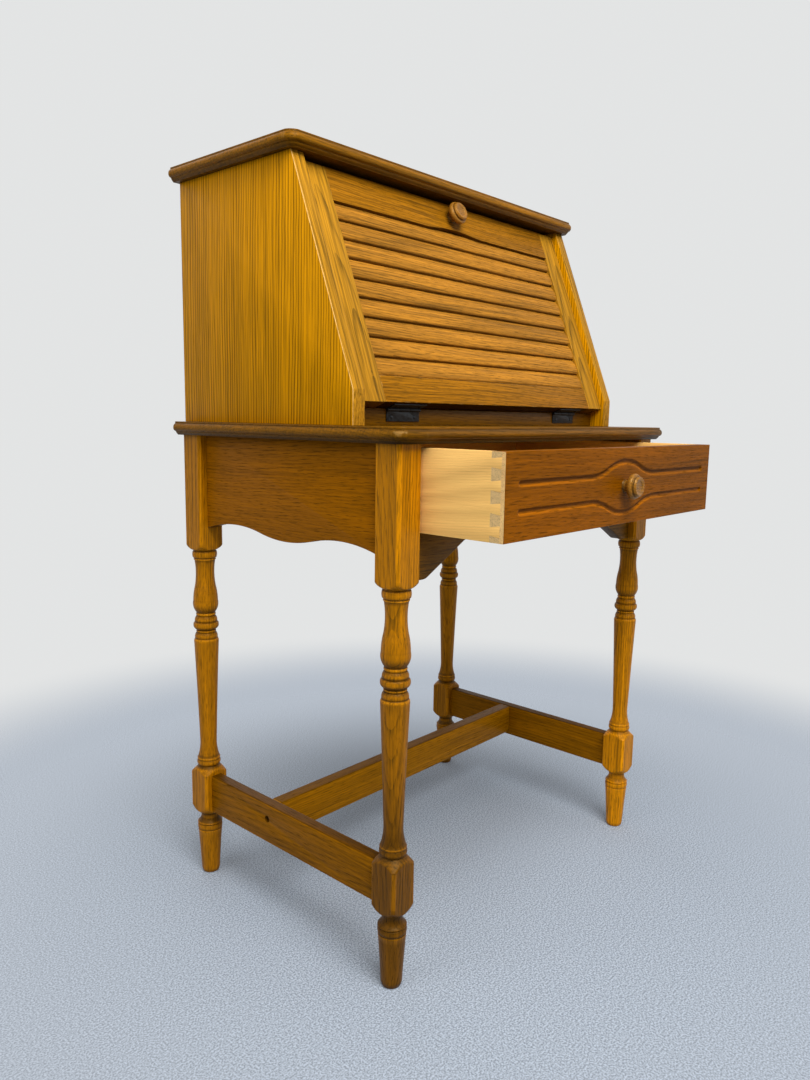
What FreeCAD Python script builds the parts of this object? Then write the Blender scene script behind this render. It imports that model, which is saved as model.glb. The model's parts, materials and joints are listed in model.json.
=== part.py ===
"""A slant-front oak writing desk on four turned legs, with one dovetailed drawer.

The sloping flap carries fixed slats that look like a roll top. It is hinged along its lower edge
and opens flat onto the desk top. All lengths are in millimetres. X runs along the front, the front
faces -Y and Z is up from the floor.
"""
import FreeCAD
import Part
import Sketcher
import math
import os
import re

# Sizes that can be set by themselves: name, value, meaning
DRIVING = [
    # Legs
    ("leg_spacing_x", 606, "leg axis to leg axis along the front"),
    ("leg_spacing_y", 408, "leg axis to leg axis, front to back"),
    ("leg_square", 42, "side of the square stock"),
    ("leg_arris", 3.5, "flat planed along each edge of the stock"),
    ("leg_length", 712, "floor to the underside of the desk top"),
    ("leg_upper_block", 154, "square left at the top for the aprons"),
    ("leg_lower_block", 40, "square left for the stretchers"),
    ("leg_lower_block_base", 126, "floor to the lower block"),
    ("shaft_hollow", 0.3, "hollow of the long taper"),
    ("foot_hollow", 0.3, "hollow of the foot's taper"),
    ("foot_tip_radius", 13, "foot at the floor"),
    ("foot_ease", 2, "rounding of the foot's lower edge"),
    # Aprons
    ("apron_thickness", 20, "all four aprons"),
    ("apron_setback", 13, "leg face to apron face"),
    ("apron_tenon_length", 14, "tenon into the leg"),
    ("apron_tenon_thickness", 8, "tenon, across the apron"),
    ("apron_tenon_shoulder", 12, "apron edge to tenon edge"),
    ("side_apron_height", 142, "at the middle of the wave"),
    ("side_apron_wave_run", 110, "middle of the wave to its crest"),
    ("side_apron_wave_rise", 13, "middle of the wave up to its crest"),
    ("front_apron_height", 18.4, "between the brackets"),
    ("front_apron_bracket_drop", 43, "bracket below the straight edge"),
    ("front_apron_bracket_foot", 24, "flat end of the bracket beside the leg"),
    ("front_apron_bracket_run", 80, "length of the bracket's slope"),
    ("front_apron_round", 16, "rounding where the slope starts and ends"),
    # Stretchers
    ("stretcher_thickness", 19.5, "side stretchers"),
    ("stretcher_height", 59, "side stretchers"),
    ("stretcher_base", 112, "floor to the side stretchers"),
    ("stretcher_setback", 11, "leg face to stretcher face"),
    ("stretcher_ease", 3, "rounding of the upper edges"),
    ("stretcher_tenon_length", 14, "tenon into the lower block"),
    ("stretcher_tenon_thickness", 8, "tenon, across the stretcher"),
    ("stretcher_tenon_shoulder", 5, "block edge to tenon edge"),
    ("cross_thickness", 23.5, "centre stretcher"),
    ("cross_height", 53, "centre stretcher"),
    ("cross_offset", 42.75, "centre stretcher behind the middle"),
    ("cross_tenon_length", 12, "centre stretcher into the side ones"),
    ("cross_tenon_shoulder", 10, "centre stretcher's edge to its tenon"),
    ("cross_tenon_thickness", 8, "centre stretcher into the side ones"),
    ("cross_hole_height", 30, "sunk screw hole above the centre stretcher's lower edge"),
    ("cross_hole_depth", 6, "sunk screw hole"),
    ("cross_hole_radius", 5, "sunk screw hole"),
    # Desk top
    ("top_thickness", 20, "desk top"),
    ("top_overhang_side", 16, "beyond the legs at each side"),
    ("top_overhang_front", 17, "beyond the front legs"),
    ("corner_clip", 14, "corner cut off at 45 degrees"),
    ("moulding_slant", 7, "lower edge behind the nose"),
    ("moulding_nose_drop", 6, "upper face to the nose"),
    ("moulding_nose_lean", 0.9, "leaning back above the nose"),
    ("moulding_nose_round", 2, "rounding under the nose, its height"),
    ("moulding_nose_ease", 0.5, "rounding under the nose, its depth"),
    ("moulding_quirk", 3.3, "upper arris behind the nose"),
    ("moulding_quirk_height", 2.5, "small step under the upper face"),
    ("cleat_thickness", 8, "cleat along the side apron"),
    ("cleat_height", 20, "cleat along the side apron"),
    ("cleat_margin", 33, "leg to the cleat's end"),
    # Cabinet
    ("panel_thickness", 21, "side panels"),
    ("panel_inset", 19.5, "desk top's end to the side panel"),
    ("panel_nose_round", 5, "rounding where the slope starts"),
    ("cabinet_back_inset", 3, "desk top's back edge to the cabinet"),
    ("cabinet_depth", 365, "side panel along the desk top"),
    ("cabinet_depth_top", 250, "side panel along its upper edge"),
    ("cabinet_height", 345, "desk top to the upper edge of the panels"),
    ("cabinet_upstand", 45, "desk top to the start of the slope"),
    ("crown_thickness", 20, "cabinet top"),
    ("crown_overhang_side", 15.5, "beyond the side panels"),
    ("crown_overhang_front", 18, "beyond the side panels"),
    ("crown_overhang_back", 5, "beyond the side panels"),
    ("back_thickness", 6, "back panel in its rebate"),
    ("back_rebate", 10, "rebate's width on the side panel"),
    ("rail_setback", 25, "side panel's front edge to the hinge rail"),
    ("rail_thickness", 20, "hinge rail"),
    ("shelf_height", 145.6, "cabinet floor to the shelf"),
    ("shelf_thickness", 12, "shelf"),
    ("shelf_depth", 206, "shelf, from the back panel"),
    ("divider_spacing", 200, "divider centre to divider centre"),
    ("divider_thickness", 10, "dividers"),
    ("divider_depth", 186, "dividers, from the back panel"),
    ("stop_section", 12, "square section of the flap's stops"),
    ("stop_margin_low", 30, "hinge axis to the stop, along the flap"),
    ("stop_margin_high", 12, "stop's end to the flap's upper edge"),
    ("stop_gap", 0.3, "stop to the closed flap"),
    # Flap
    ("flap_thickness", 22, "stiles and rails"),
    ("flap_rest_gap", 0.4, "open flap above the desk top"),
    ("flap_side_gap", 1.2, "flap to each side panel"),
    ("flap_swing_gap", 1.4, "turning flap to the cabinet top's lip"),
    ("stile_width", 42, "side members of the flap"),
    ("flap_bottom_rail_height", 37.4, "lower member of the flap"),
    ("flap_top_rail_height", 48, "upper member of the flap"),
    ("flap_arch_run", 75, "half of the arch under the top rail"),
    ("flap_arch_rise", 5, "arch under the top rail"),
    ("flap_lip", 7, "top rail in front of the slats"),
    ("flap_rebate", 8, "rebate that holds the writing panel"),
    ("flap_panel_thickness", 6, "writing panel"),
    ("flap_tenon_length", 12, "rail into stile"),
    ("flap_tenon_thickness", 8, "rail into stile"),
    ("flap_tenon_shoulder", 9, "rail edge to tenon edge"),
    ("slat_recess", 2, "slat's nose behind the stile's face"),
    ("slat_nose", 4, "rounding of the slat's lower front"),
    ("slat_top", 5, "slat's thickness at its upper edge"),
    ("slat_swell", 2, "fullness of the slat's face"),
    ("slat_gap", 0.3, "slat to slat"),
    ("slat_tuck", 3.5, "last slat behind the top rail's lip"),
    ("slat_tail", 4.2, "plain strip above the last slat's face"),
    # Butt hinges
    ("hinge_offset", 2.6, "hinge axis to the rail's face and to the flap's edge"),
    ("hinge_inset", 1.5, "flap's inner face behind the hinge axis"),
    ("hinge_length", 65, "along the axis"),
    ("hinge_from_end", 95.3, "flap's end to the hinge's middle"),
    ("hinge_leaf", 1.5, "leaf's thickness"),
    ("hinge_leaf_reach", 15.4, "axis to the leaf's edge"),
    ("hinge_knuckle_radius", 2.4, "outside of the barrel"),
    ("hinge_middle_knuckle", 21.4, "length of the flap leaf's knuckle"),
    ("hinge_knuckle_gap", 0.3, "between knuckles"),
    ("hinge_notch_gap", 0.3, "leaf to the other leaf's knuckle"),
    ("hinge_pin_radius", 1.2, "pin, tight in the rail leaf"),
    ("hinge_pin_clearance", 0.05, "pin to the flap leaf's bore"),
    # Drawer
    ("drawer_pull", 123, "how far the drawer stands open"),
    ("drawer_setback", 2, "leg face to the closed drawer's face"),
    ("drawer_opening", 109.6, "front apron to desk top"),
    ("drawer_top_gap", 5, "drawer front to desk top"),
    ("drawer_side_gap", 1.5, "drawer front to each leg"),
    ("drawer_guide_gap", 0.5, "drawer side to its guide"),
    ("drawer_slide_gap", 0.3, "drawer side to its runner"),
    ("runner_lift", 0.3, "runner above the front apron"),
    ("runner_ledge", 19, "runner under the drawer, from the guide's face"),
    ("runner_thickness", 18, "runner's ledge"),
    ("guide_height", 36, "guide above the ledge"),
    ("drawer_depth", 390, "front face to the ends of the sides"),
    ("drawer_front_thickness", 20, "drawer front"),
    ("drawer_side_thickness", 12, "drawer sides"),
    ("drawer_lap", 6, "drawer front left before the dovetails"),
    ("tail_root", 10, "dovetail where it leaves the side"),
    ("tail_tip", 14, "dovetail at its end"),
    ("drawer_bottom_thickness", 5, "drawer bottom"),
    ("drawer_bottom_height", 10, "side's lower edge to the drawer bottom"),
    ("drawer_groove", 5, "depth of the groove for the drawer bottom"),
    ("drawer_back_thickness", 12, "drawer back"),
    ("drawer_back_housing", 4, "drawer back let into the sides"),
    ("drawer_back_top_gap", 6, "drawer back below the sides' upper edge"),
    ("line_height", 50.5, "middle of the routed lines above the front's lower edge"),
    ("line_spread", 33, "routed line to routed line"),
    ("line_end_margin", 30.5, "end of the routed line to the end of the front"),
    ("line_bow_run", 90, "half of the bow around the knob"),
    ("line_bow_rise", 18, "bow around the knob"),
    ("line_width", 5, "routed line"),
    ("line_depth", 2.5, "routed line"),
    # Knobs
    ("knob_height", 23, "face of the wood to the crown"),
    ("knob_base_radius", 9, "knob against the wood"),
    ("knob_waist_radius", 8, "thinnest part"),
    ("knob_waist_height", 6, "thinnest part"),
    ("knob_flare_height", 14, "top of the flare, under the rim"),
    ("knob_rim_radius", 19, "widest part"),
    ("knob_rim_height", 17, "upper edge of the rim"),
    ("knob_face_radius", 16.5, "outer edge of the face"),
    ("knob_face_height", 20, "outer edge of the face"),
    ("knob_crown_radius", 5, "flat crown of the face"),
    ("knob_spigot_radius", 5, "spigot glued into the wood"),
    ("knob_spigot_length", 14, "spigot glued into the wood"),
    ("knob_from_flap_top", 22, "flap's upper edge to the knob's middle"),
]

# Turned profiles: station, step along the leg, radius there, hollow of the curve that leads to it.
# Where there is no hollow, the cut is straight.
UPPER_TURNING = [
    ("shoulder", 24, 18.25, None),
    ("collar", 9, 15.5, None),
    ("cove", 46, 15.6, 2.8),
    ("belly", 24, 18.5, None),
    ("hip", 18, 14.5, None),
    ("bead", 13, 18.5, None),
    ("bead_foot", 13, 15, None),
    ("fillet_ring", 13, 14.5, None),
    ("shaft_top", 11, 18.5, None),
]
BASE_TURNING = [
    ("base_shoulder", 18, 16, None),
    ("base_ring", 7, 17.5, None),
    ("base_neck", 6, 15, None),
    ("shaft_foot", 15, 12.5, None),
]
FOOT_TURNING = [
    ("foot_shoulder", 21, 15, None),
    ("foot_neck", 6, 13.25, None),
    ("foot_flare", 11, 18, None),
    ("foot_groove", 4, 16.8, None),
    ("foot_collar", 4, 18, None),
]

TAIL_COUNT = 4
SLAT_COUNT = 9

# Sizes that follow from the ones above
DERIVED = [
    ("leg_half_x", "leg_spacing_x / 2"),
    ("leg_half_y", "leg_spacing_y / 2"),
    ("leg_inner_x", "leg_half_x - leg_square / 2"),
    ("leg_outer_x", "leg_half_x + leg_square / 2"),
    ("leg_inner_y", "leg_half_y - leg_square / 2"),
    ("leg_outer_y", "leg_half_y + leg_square / 2"),
    ("turning_clear", "leg_square * sqrt(2) / 2 + 1.3"),
    ("upper_block_base", "leg_length - leg_upper_block"),
    ("lower_block_top", "leg_lower_block_base + leg_lower_block"),
    ("apron_outer_x", "leg_outer_x - apron_setback"),
    ("apron_inner_x", "apron_outer_x - apron_thickness"),
    ("apron_outer_y", "leg_outer_y - apron_setback"),
    ("apron_inner_y", "apron_outer_y - apron_thickness"),
    ("side_apron_base", "leg_length - side_apron_height"),
    ("side_apron_radius", "(side_apron_wave_run^2 + side_apron_wave_rise^2) / (4 * side_apron_wave_rise)"),
    ("side_apron_end", "leg_inner_y - side_apron_wave_run"),
    ("side_apron_end_drop", "side_apron_radius - sqrt(side_apron_radius^2 - side_apron_end^2)"),
    ("drawer_rail_top", "leg_length - drawer_opening"),
    ("front_apron_base", "drawer_rail_top - front_apron_height"),
    ("bracket_base", "front_apron_base - front_apron_bracket_drop"),
    ("bracket_outer", "leg_inner_x - front_apron_bracket_foot"),
    ("bracket_inner", "bracket_outer - front_apron_bracket_run"),
    ("stretcher_outer_x", "leg_outer_x - stretcher_setback"),
    ("stretcher_inner_x", "stretcher_outer_x - stretcher_thickness"),
    ("stretcher_top", "stretcher_base + stretcher_height"),
    ("cross_base", "stretcher_top - cross_height"),
    ("top_half_x", "leg_outer_x + top_overhang_side"),
    ("top_front", "-leg_outer_y - top_overhang_front"),
    ("top_back", "leg_outer_y"),
    ("desk_surface", "leg_length + top_thickness"),
    ("panel_outer_x", "top_half_x - panel_inset"),
    ("panel_inner_x", "panel_outer_x - panel_thickness"),
    ("cabinet_back_y", "top_back - cabinet_back_inset"),
    ("back_panel_y", "cabinet_back_y - back_thickness"),
    ("cabinet_front_low", "cabinet_back_y - cabinet_depth"),
    ("cabinet_front_high", "cabinet_back_y - cabinet_depth_top"),
    ("slope_start", "desk_surface + cabinet_upstand"),
    ("cabinet_top_z", "desk_surface + cabinet_height"),
    ("slant", "atan((cabinet_depth - cabinet_depth_top) / (cabinet_height - cabinet_upstand))"),
    ("crown_half_x", "panel_outer_x + crown_overhang_side"),
    ("crown_front", "cabinet_front_high - crown_overhang_front"),
    ("crown_back", "cabinet_back_y + crown_overhang_back"),
    ("rail_face", "cabinet_front_low + rail_setback"),
    ("rail_back", "rail_face + rail_thickness"),
    ("hinge_axis_y", "rail_face - hinge_offset"),
    ("hinge_axis_z", "desk_surface + flap_rest_gap + flap_thickness - hinge_inset"),
    ("cabinet_floor", "hinge_axis_z + hinge_inset"),
    ("shelf_base", "cabinet_floor + shelf_height"),
    ("flap_outer", "hinge_inset - flap_thickness"),
    ("lip_run", "crown_front + moulding_slant - hinge_axis_y"),
    ("lip_reach", "sqrt(lip_run^2 + (cabinet_top_z - hinge_axis_z)^2)"),
    ("flap_length", "sqrt((lip_reach - flap_swing_gap)^2 - flap_outer^2)"),
    ("flap_half", "panel_inner_x - flap_side_gap"),
    ("stile_inner", "flap_half - stile_width"),
    ("flap_field_low", "hinge_offset + flap_bottom_rail_height"),
    ("flap_field_high", "flap_length - flap_top_rail_height"),
    ("flap_arch_radius", "(flap_arch_run^2 + flap_arch_rise^2) / (4 * flap_arch_rise)"),
    ("flap_panel_face", "hinge_inset - flap_panel_thickness"),
    ("flap_tenon_front", "(hinge_inset + flap_outer - flap_tenon_thickness) / 2"),
    ("flap_tenon_back", "flap_tenon_front + flap_tenon_thickness"),
    ("slat_face", "flap_outer + slat_recess"),
    ("slat_pitch", f"(flap_field_high + slat_tuck - flap_field_low) / {SLAT_COUNT}"),
    ("hinge_centre", "flap_half - hinge_from_end"),
    ("hinge_bore_radius", "hinge_pin_radius + hinge_pin_clearance"),
    ("drawer_half", "leg_inner_x - drawer_side_gap"),
    ("drawer_inner", "drawer_half - drawer_side_thickness"),
    ("runner_top", "drawer_rail_top + runner_lift"),
    ("guide_face", "drawer_half + drawer_guide_gap"),
    ("drawer_base", "runner_top + drawer_slide_gap"),
    ("drawer_height", "leg_length - drawer_top_gap - drawer_base"),
    ("drawer_face", "drawer_setback - leg_outer_y - drawer_pull"),
    ("drawer_floor", "drawer_bottom_height + drawer_bottom_thickness"),
    ("tail_pitch", f"drawer_height / {TAIL_COUNT}"),
    ("line_bow_radius", "(line_bow_run^2 + line_bow_rise^2) / (4 * line_bow_rise)"),
    ("line_end", "drawer_half - line_end_margin"),
    ("line_lean_x", "line_width / 2 * line_bow_run / (2 * line_bow_radius)"),
    ("line_lean_z", "line_width / 2 * (1 - line_bow_rise / (2 * line_bow_radius))"),
    # The frame's origin lies on the floor, under the middle of the desk with its drawer open
    ("frame_shift", "(knob_height - drawer_face - crown_back) / 2"),
]

SIDES = [("left", -1), ("right", 1)]

doc = FreeCAD.newDocument("WritingDesk")
sheet = doc.addObject("Spreadsheet::Sheet", "Sizes")
aliases = set()
nodes = {}


def set_size(alias, content, note=""):
    """Write one named size into the next row of the sheet."""
    row = len(aliases) + 1
    sheet.set(f"A{row}", alias)
    sheet.set(f"B{row}", content)
    sheet.setAlias(f"B{row}", alias)
    sheet.set(f"C{row}", note)
    aliases.add(alias)


def set_turning(rows, start, sign):
    """Write a turned profile's sizes, with the height of each station above the floor."""
    height = start
    for name, step, radius, hollow in rows:
        set_size(f"{name}_step", str(step), "along the leg")
        set_size(f"{name}_radius", str(radius), "turned radius")
        if hollow is not None:
            set_size(f"{name}_hollow", str(hollow), "depth of the hollow that leads there")
        set_size(f"{name}_height", f"={height} {sign} {name}_step")
        height = f"{name}_height"


def fill_sheet():
    """Put every size into the sheet."""
    for alias, value, note in DRIVING:
        set_size(alias, str(value), note)
    for alias, formula in DERIVED:
        set_size(alias, f"={formula}")
    set_turning(UPPER_TURNING, "upper_block_base", "-")
    set_turning(BASE_TURNING, "lower_block_top", "+")
    set_turning(FOOT_TURNING, "leg_lower_block_base", "-")
    doc.recompute()


def bound(text):
    """The expression as other objects read it, with each size taken from the sheet."""
    def with_sheet(found):
        word = found.group(0)
        return f"Sizes.{word}" if word in aliases else word
    return re.sub(r"[a-z_]+", with_sheet, text)


def size(text):
    """The present value of an expression of sizes."""
    value = sheet.evalExpression(text)
    return float(getattr(value, "Value", value))


# Places

DESK_FRAME = (("0", "frame_shift", "0"), None)
DRAWER_FRAME = (("0", "drawer_face + frame_shift", "drawer_base"), None)
FLAP_FRAME = (("0", "hinge_axis_y + frame_shift", "hinge_axis_z"), ((-1, 0, 0), "slant"))

# Heights of the tenons, shared by the legs and what enters them
SIDE_TENON = ("side_apron_base + side_apron_wave_rise + apron_tenon_shoulder", "leg_length - apron_tenon_shoulder")
BACK_TENON = ("drawer_rail_top + apron_tenon_shoulder", "leg_length - apron_tenon_shoulder")
FRONT_TENON = ("upper_block_base + apron_tenon_shoulder / 2", "drawer_rail_top - apron_tenon_shoulder / 2")
STRETCHER_TENON = ("leg_lower_block_base + stretcher_tenon_shoulder", "lower_block_top - stretcher_tenon_shoulder")

# Where the centre stretcher enters the side ones, along Y and Z
CROSS_TENON = (
    ("cross_offset - cross_tenon_thickness / 2", "cross_offset + cross_tenon_thickness / 2"),
    ("cross_base + cross_tenon_shoulder", "stretcher_top - cross_tenon_shoulder"),
)

# Where the flap's rails enter its stiles, and where its knob sits
FLAP_LOW_TENON = ("hinge_offset + flap_tenon_shoulder", "flap_field_low - flap_tenon_shoulder")
FLAP_HIGH_TENON = ("flap_field_high + flap_rebate + flap_tenon_shoulder / 2", "flap_length - flap_tenon_shoulder")
KNOB_ON_FLAP = "flap_length - knob_from_flap_top"

# Where the drawer's back stands, a little in from the ends of the sides
DRAWER_BACK_Y = ("drawer_depth - 2 * drawer_back_thickness", "drawer_depth - drawer_back_thickness")
DRAWER_BACK_Z = ("drawer_floor", "drawer_height - drawer_back_top_gap")


def on_flap(x, y, z):
    """Where a point of the flap's own frame lies in the desk's frame, flap closed."""
    across = f"hinge_axis_y + frame_shift + ({y}) * cos(slant) + ({z}) * sin(slant)"
    up = f"hinge_axis_z - ({y}) * sin(slant) + ({z}) * cos(slant)"
    return x, across, up


def place(thing, frame):
    """Bind where a piece stands: its base point and, if it is turned, an axis and an angle."""
    base, turn = frame
    if turn:
        axis, angle = turn
        rotation = FreeCAD.Rotation(FreeCAD.Vector(*axis), size(angle))
        thing.Placement = FreeCAD.Placement(FreeCAD.Vector(), rotation)
        thing.setExpression("Placement.Rotation.Angle", bound(angle))
    for letter, text in zip("xyz", base):
        thing.setExpression(f"Placement.Base.{letter}", bound(text))


def across(sign, low, high):
    """A span along X on the right-hand side, or its mirror image on the left."""
    if sign > 0:
        return low, high
    return f"-({high})", f"-({low})"


# Sketches and features

def new_body(label, frame=DESK_FRAME):
    """An empty body in the given frame."""
    body = doc.addObject("PartDesign::Body", label)
    body.Label = label
    place(body, frame)
    return body


def new_sketch(body, plane, offset):
    """An empty sketch on one of the body's own planes, moved along the plane's normal."""
    sketch = body.newObject("Sketcher::SketchObject", f"{body.Name}_sketch")
    support = next(item for item in body.Origin.OriginFeatures if item.Role == f"{plane}_Plane")
    sketch.AttachmentSupport = (support, [""])
    sketch.MapMode = "FlatFace"
    sketch.setExpression("AttachmentOffset.Base.z", bound(offset))
    return sketch


def bind(sketch, kind, text, *ends):
    """Add one dimension to a sketch and tie it to the sheet."""
    if text == "0":
        axis = -2 if kind == "DistanceX" else -1
        sketch.addConstraint(Sketcher.Constraint("PointOnObject", ends[-2], ends[-1], axis))
        return
    index = sketch.addConstraint(Sketcher.Constraint(kind, *ends, size(text)))
    sketch.setExpression(f"Constraints[{index}]", bound(text))


def arc_between(start, end, radius, side):
    """The short arc from start to end that swells to the left (side 1) or right (side -1)."""
    chord = end - start
    left = FreeCAD.Vector(-chord.y, chord.x, 0).normalize()
    rise = math.sqrt(max(radius ** 2 - (chord.Length / 2) ** 2, 0))
    centre = (start + end) * 0.5 - left * (side * rise)
    ends = (start, end) if side < 0 else (end, start)
    angles = [math.atan2(point.y - centre.y, point.x - centre.x) for point in ends]
    if angles[1] <= angles[0]:
        angles[1] += 2 * math.pi
    circle = Part.Circle(centre, FreeCAD.Vector(0, 0, 1), radius)
    return Part.ArcOfCircle(circle, *angles)


def draw_outline(sketch, points):
    """Draw a closed outline of lines and arcs through bound points.

    Each point is (x, y, bend), where bend is None for a straight line to the next point, or an
    arc's radius and the side that it swells to.
    """
    spots = [FreeCAD.Vector(size(x), size(y), 0) for x, y, bend in points]
    first = sketch.GeometryCount
    start_end = []
    for start, end, (x, y, bend) in zip(spots, spots[1:] + spots[:1], points):
        if bend is None:
            sketch.addGeometry(Part.LineSegment(start, end), False)
        else:
            sketch.addGeometry(arc_between(start, end, size(bend[0]), bend[1]), False)
        turned_round = bend is not None and bend[1] > 0
        start_end.append((2, 1) if turned_round else (1, 2))
    joins = []
    for index in range(len(points)):
        following = (index + 1) % len(points)
        ends = (first + index, start_end[index][1], first + following, start_end[following][0])
        joins.append(Sketcher.Constraint("Coincident", *ends))
    sketch.addConstraint(joins)
    for index, (x, y, bend) in enumerate(points):
        bind(sketch, "DistanceX", x, -1, 1, first + index, start_end[index][0])
        bind(sketch, "DistanceY", y, -1, 1, first + index, start_end[index][0])
        if bend is not None:
            bind(sketch, "Radius", bend[0], first + index)


def draw_circle(sketch, x, y, radius):
    """Draw one bound circle."""
    circle = Part.Circle(FreeCAD.Vector(size(x), size(y), 0), FreeCAD.Vector(0, 0, 1), size(radius))
    index = sketch.addGeometry(circle, False)
    bind(sketch, "DistanceX", x, -1, 1, index, 3)
    bind(sketch, "DistanceY", y, -1, 1, index, 3)
    bind(sketch, "Radius", radius, index)


def straight(*points):
    """A polygon's points, in the form that draw_outline takes."""
    return [(x, y, None) for x, y in points]


def rectangle(x_span, y_span):
    """A rectangle's points."""
    (x_low, x_high), (y_low, y_high) = x_span, y_span
    return straight((x_low, y_low), (x_high, y_low), (x_high, y_high), (x_low, y_high))


def add_feature(body, kind, sketch, length):
    """A pad or pocket of a bound length."""
    feature = body.newObject(f"PartDesign::{kind}", f"{body.Name}_{kind.lower()}")
    feature.Profile = (sketch, [""])
    feature.setExpression("Length", bound(length))
    return feature


def start_of(plane, span, kind):
    """The sketch's offset for a pad or pocket that fills the span across its plane."""
    low, high = span
    if plane == "XZ":
        return f"-({high})" if kind == "Pad" else f"-({low})"
    return low if kind == "Pad" else high


def extrude(body, kind, plane, span, loops):
    """Pad or pocket outlines over a span that runs along the plane's normal."""
    sketch = new_sketch(body, plane, start_of(plane, span, kind))
    for points in loops:
        draw_outline(sketch, points)
    return add_feature(body, kind, sketch, f"({span[1]}) - ({span[0]})")


def extrude_circles(body, kind, plane, span, circles):
    """Pad or pocket circles over a span that runs along the plane's normal."""
    sketch = new_sketch(body, plane, start_of(plane, span, kind))
    for circle in circles:
        draw_circle(sketch, *circle)
    return add_feature(body, kind, sketch, f"({span[1]}) - ({span[0]})")


def add_block(body, x_span, y_span, z_span):
    """Add a rectangular block."""
    return extrude(body, "Pad", "XY", z_span, [rectangle(x_span, y_span)])


def cut_block(body, x_span, y_span, z_span):
    """Cut a rectangular block away."""
    return extrude(body, "Pocket", "XY", z_span, [rectangle(x_span, y_span)])


def turn_about_axis(body, kind, points):
    """A Revolution or Groove of an outline about the body's Z axis."""
    sketch = new_sketch(body, "XZ", "0")
    draw_outline(sketch, points)
    feature = body.newObject(f"PartDesign::{kind}", f"{body.Name}_{kind.lower()}")
    feature.Profile = (sketch, [""])
    feature.ReferenceAxis = (sketch, ["V_Axis"])
    feature.Angle = 360
    return feature


def round_edges(body, radius, wanted):
    """Round the edges whose middle point passes the test."""
    doc.recompute()
    base = body.Tip
    names = []
    for number, edge in enumerate(base.Shape.Edges, 1):
        middle = edge.valueAt((edge.FirstParameter + edge.LastParameter) / 2)
        if wanted(middle, edge):
            names.append(f"Edge{number}")
    fillet = body.newObject("PartDesign::Fillet", f"{body.Name}_fillet")
    fillet.Base = (base, names)
    fillet.setExpression("Radius", bound(radius))
    return fillet


def near(value, text):
    """Whether a coordinate has the value of an expression."""
    return abs(value - size(text)) < 0.01


def bend_by_swell(before, after, swell, side):
    """An arc between two points, given by its fullness at mid chord."""
    run = f"(({after[0]}) - ({before[0]}))"
    rise = f"(({after[1]}) - ({before[1]}))"
    return f"({run}^2 + {rise}^2) / (8 * {swell}) + {swell} / 2", side


def bow(middle, base, run, rise, radius):
    """A smooth bow from left to right: a hollow, a crown and a hollow, all of one radius."""
    half_up = f"{base} + {rise} / 2"
    return [
        (f"{middle} - {run}", base, (radius, -1)),
        (f"{middle} - {run} / 2", half_up, (radius, 1)),
        (f"{middle} + {run} / 2", half_up, (radius, -1)),
        (f"{middle} + {run}", base, None),
    ]


# Plain boards and the list of nodes

def keep(name, thing):
    """Name a finished piece."""
    thing.Label = name
    nodes[name] = thing
    return thing


def board(name, x_span, y_span, z_span):
    """A plain rectangular board."""
    box = doc.addObject("Part::Box", name)
    spans = (x_span, y_span, z_span)
    for side, (low, high) in zip(("Length", "Width", "Height"), spans):
        box.setExpression(side, bound(f"({high}) - ({low})"))
    place(box, ((x_span[0], f"{y_span[0]} + frame_shift", z_span[0]), None))
    return box


# Legs

def turned_points(rows, start):
    """A turned profile's points in order, each with the hollow that leads to it."""
    points = [(*start, None)]
    for name, step, radius, hollow in rows:
        points.append((f"{name}_radius", f"{name}_height", f"{name}_hollow" if hollow else None))
    return points


def cut_profile(body, points):
    """Turn away all that lies outside a profile given from top to bottom."""
    outline = []
    for here, following in zip(points, points[1:] + points[:1]):
        hollow = following[2]
        bend = bend_by_swell(here, following, hollow, -1) if hollow else None
        outline.append((*here[:2], bend))
    return turn_about_axis(body, "Groove", outline)


def upper_profile():
    """From the upper block down to the lower one."""
    down = turned_points(UPPER_TURNING, ("turning_clear", "upper_block_base"))
    shaft_foot, *base = turned_points(BASE_TURNING, ("turning_clear", "lower_block_top"))[::-1]
    return down + [(*shaft_foot[:2], "shaft_hollow")] + base


def foot_profile():
    """From the lower block down to the floor, and out past the stock."""
    points = turned_points(FOOT_TURNING, ("turning_clear", "leg_lower_block_base"))
    points.append(("foot_tip_radius", "foot_ease", "foot_hollow"))
    points.append(("foot_tip_radius - foot_ease", "0", None))
    points.append(("turning_clear", "0", None))
    return points


def stock_outline():
    """The square stock with a flat planed on each edge."""
    half = "leg_square / 2"
    flat = "leg_square / 2 - leg_arris"
    corners = []
    for x_sign, y_sign in ((1, -1), (1, 1), (-1, 1), (-1, -1)):
        along_y = (f"{x_sign} * {half}", f"{y_sign} * ({flat})")
        along_x = (f"{x_sign} * ({flat})", f"{y_sign} * {half}")
        corners += [along_y, along_x] if x_sign * y_sign > 0 else [along_x, along_y]
    return straight(*corners)


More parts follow.
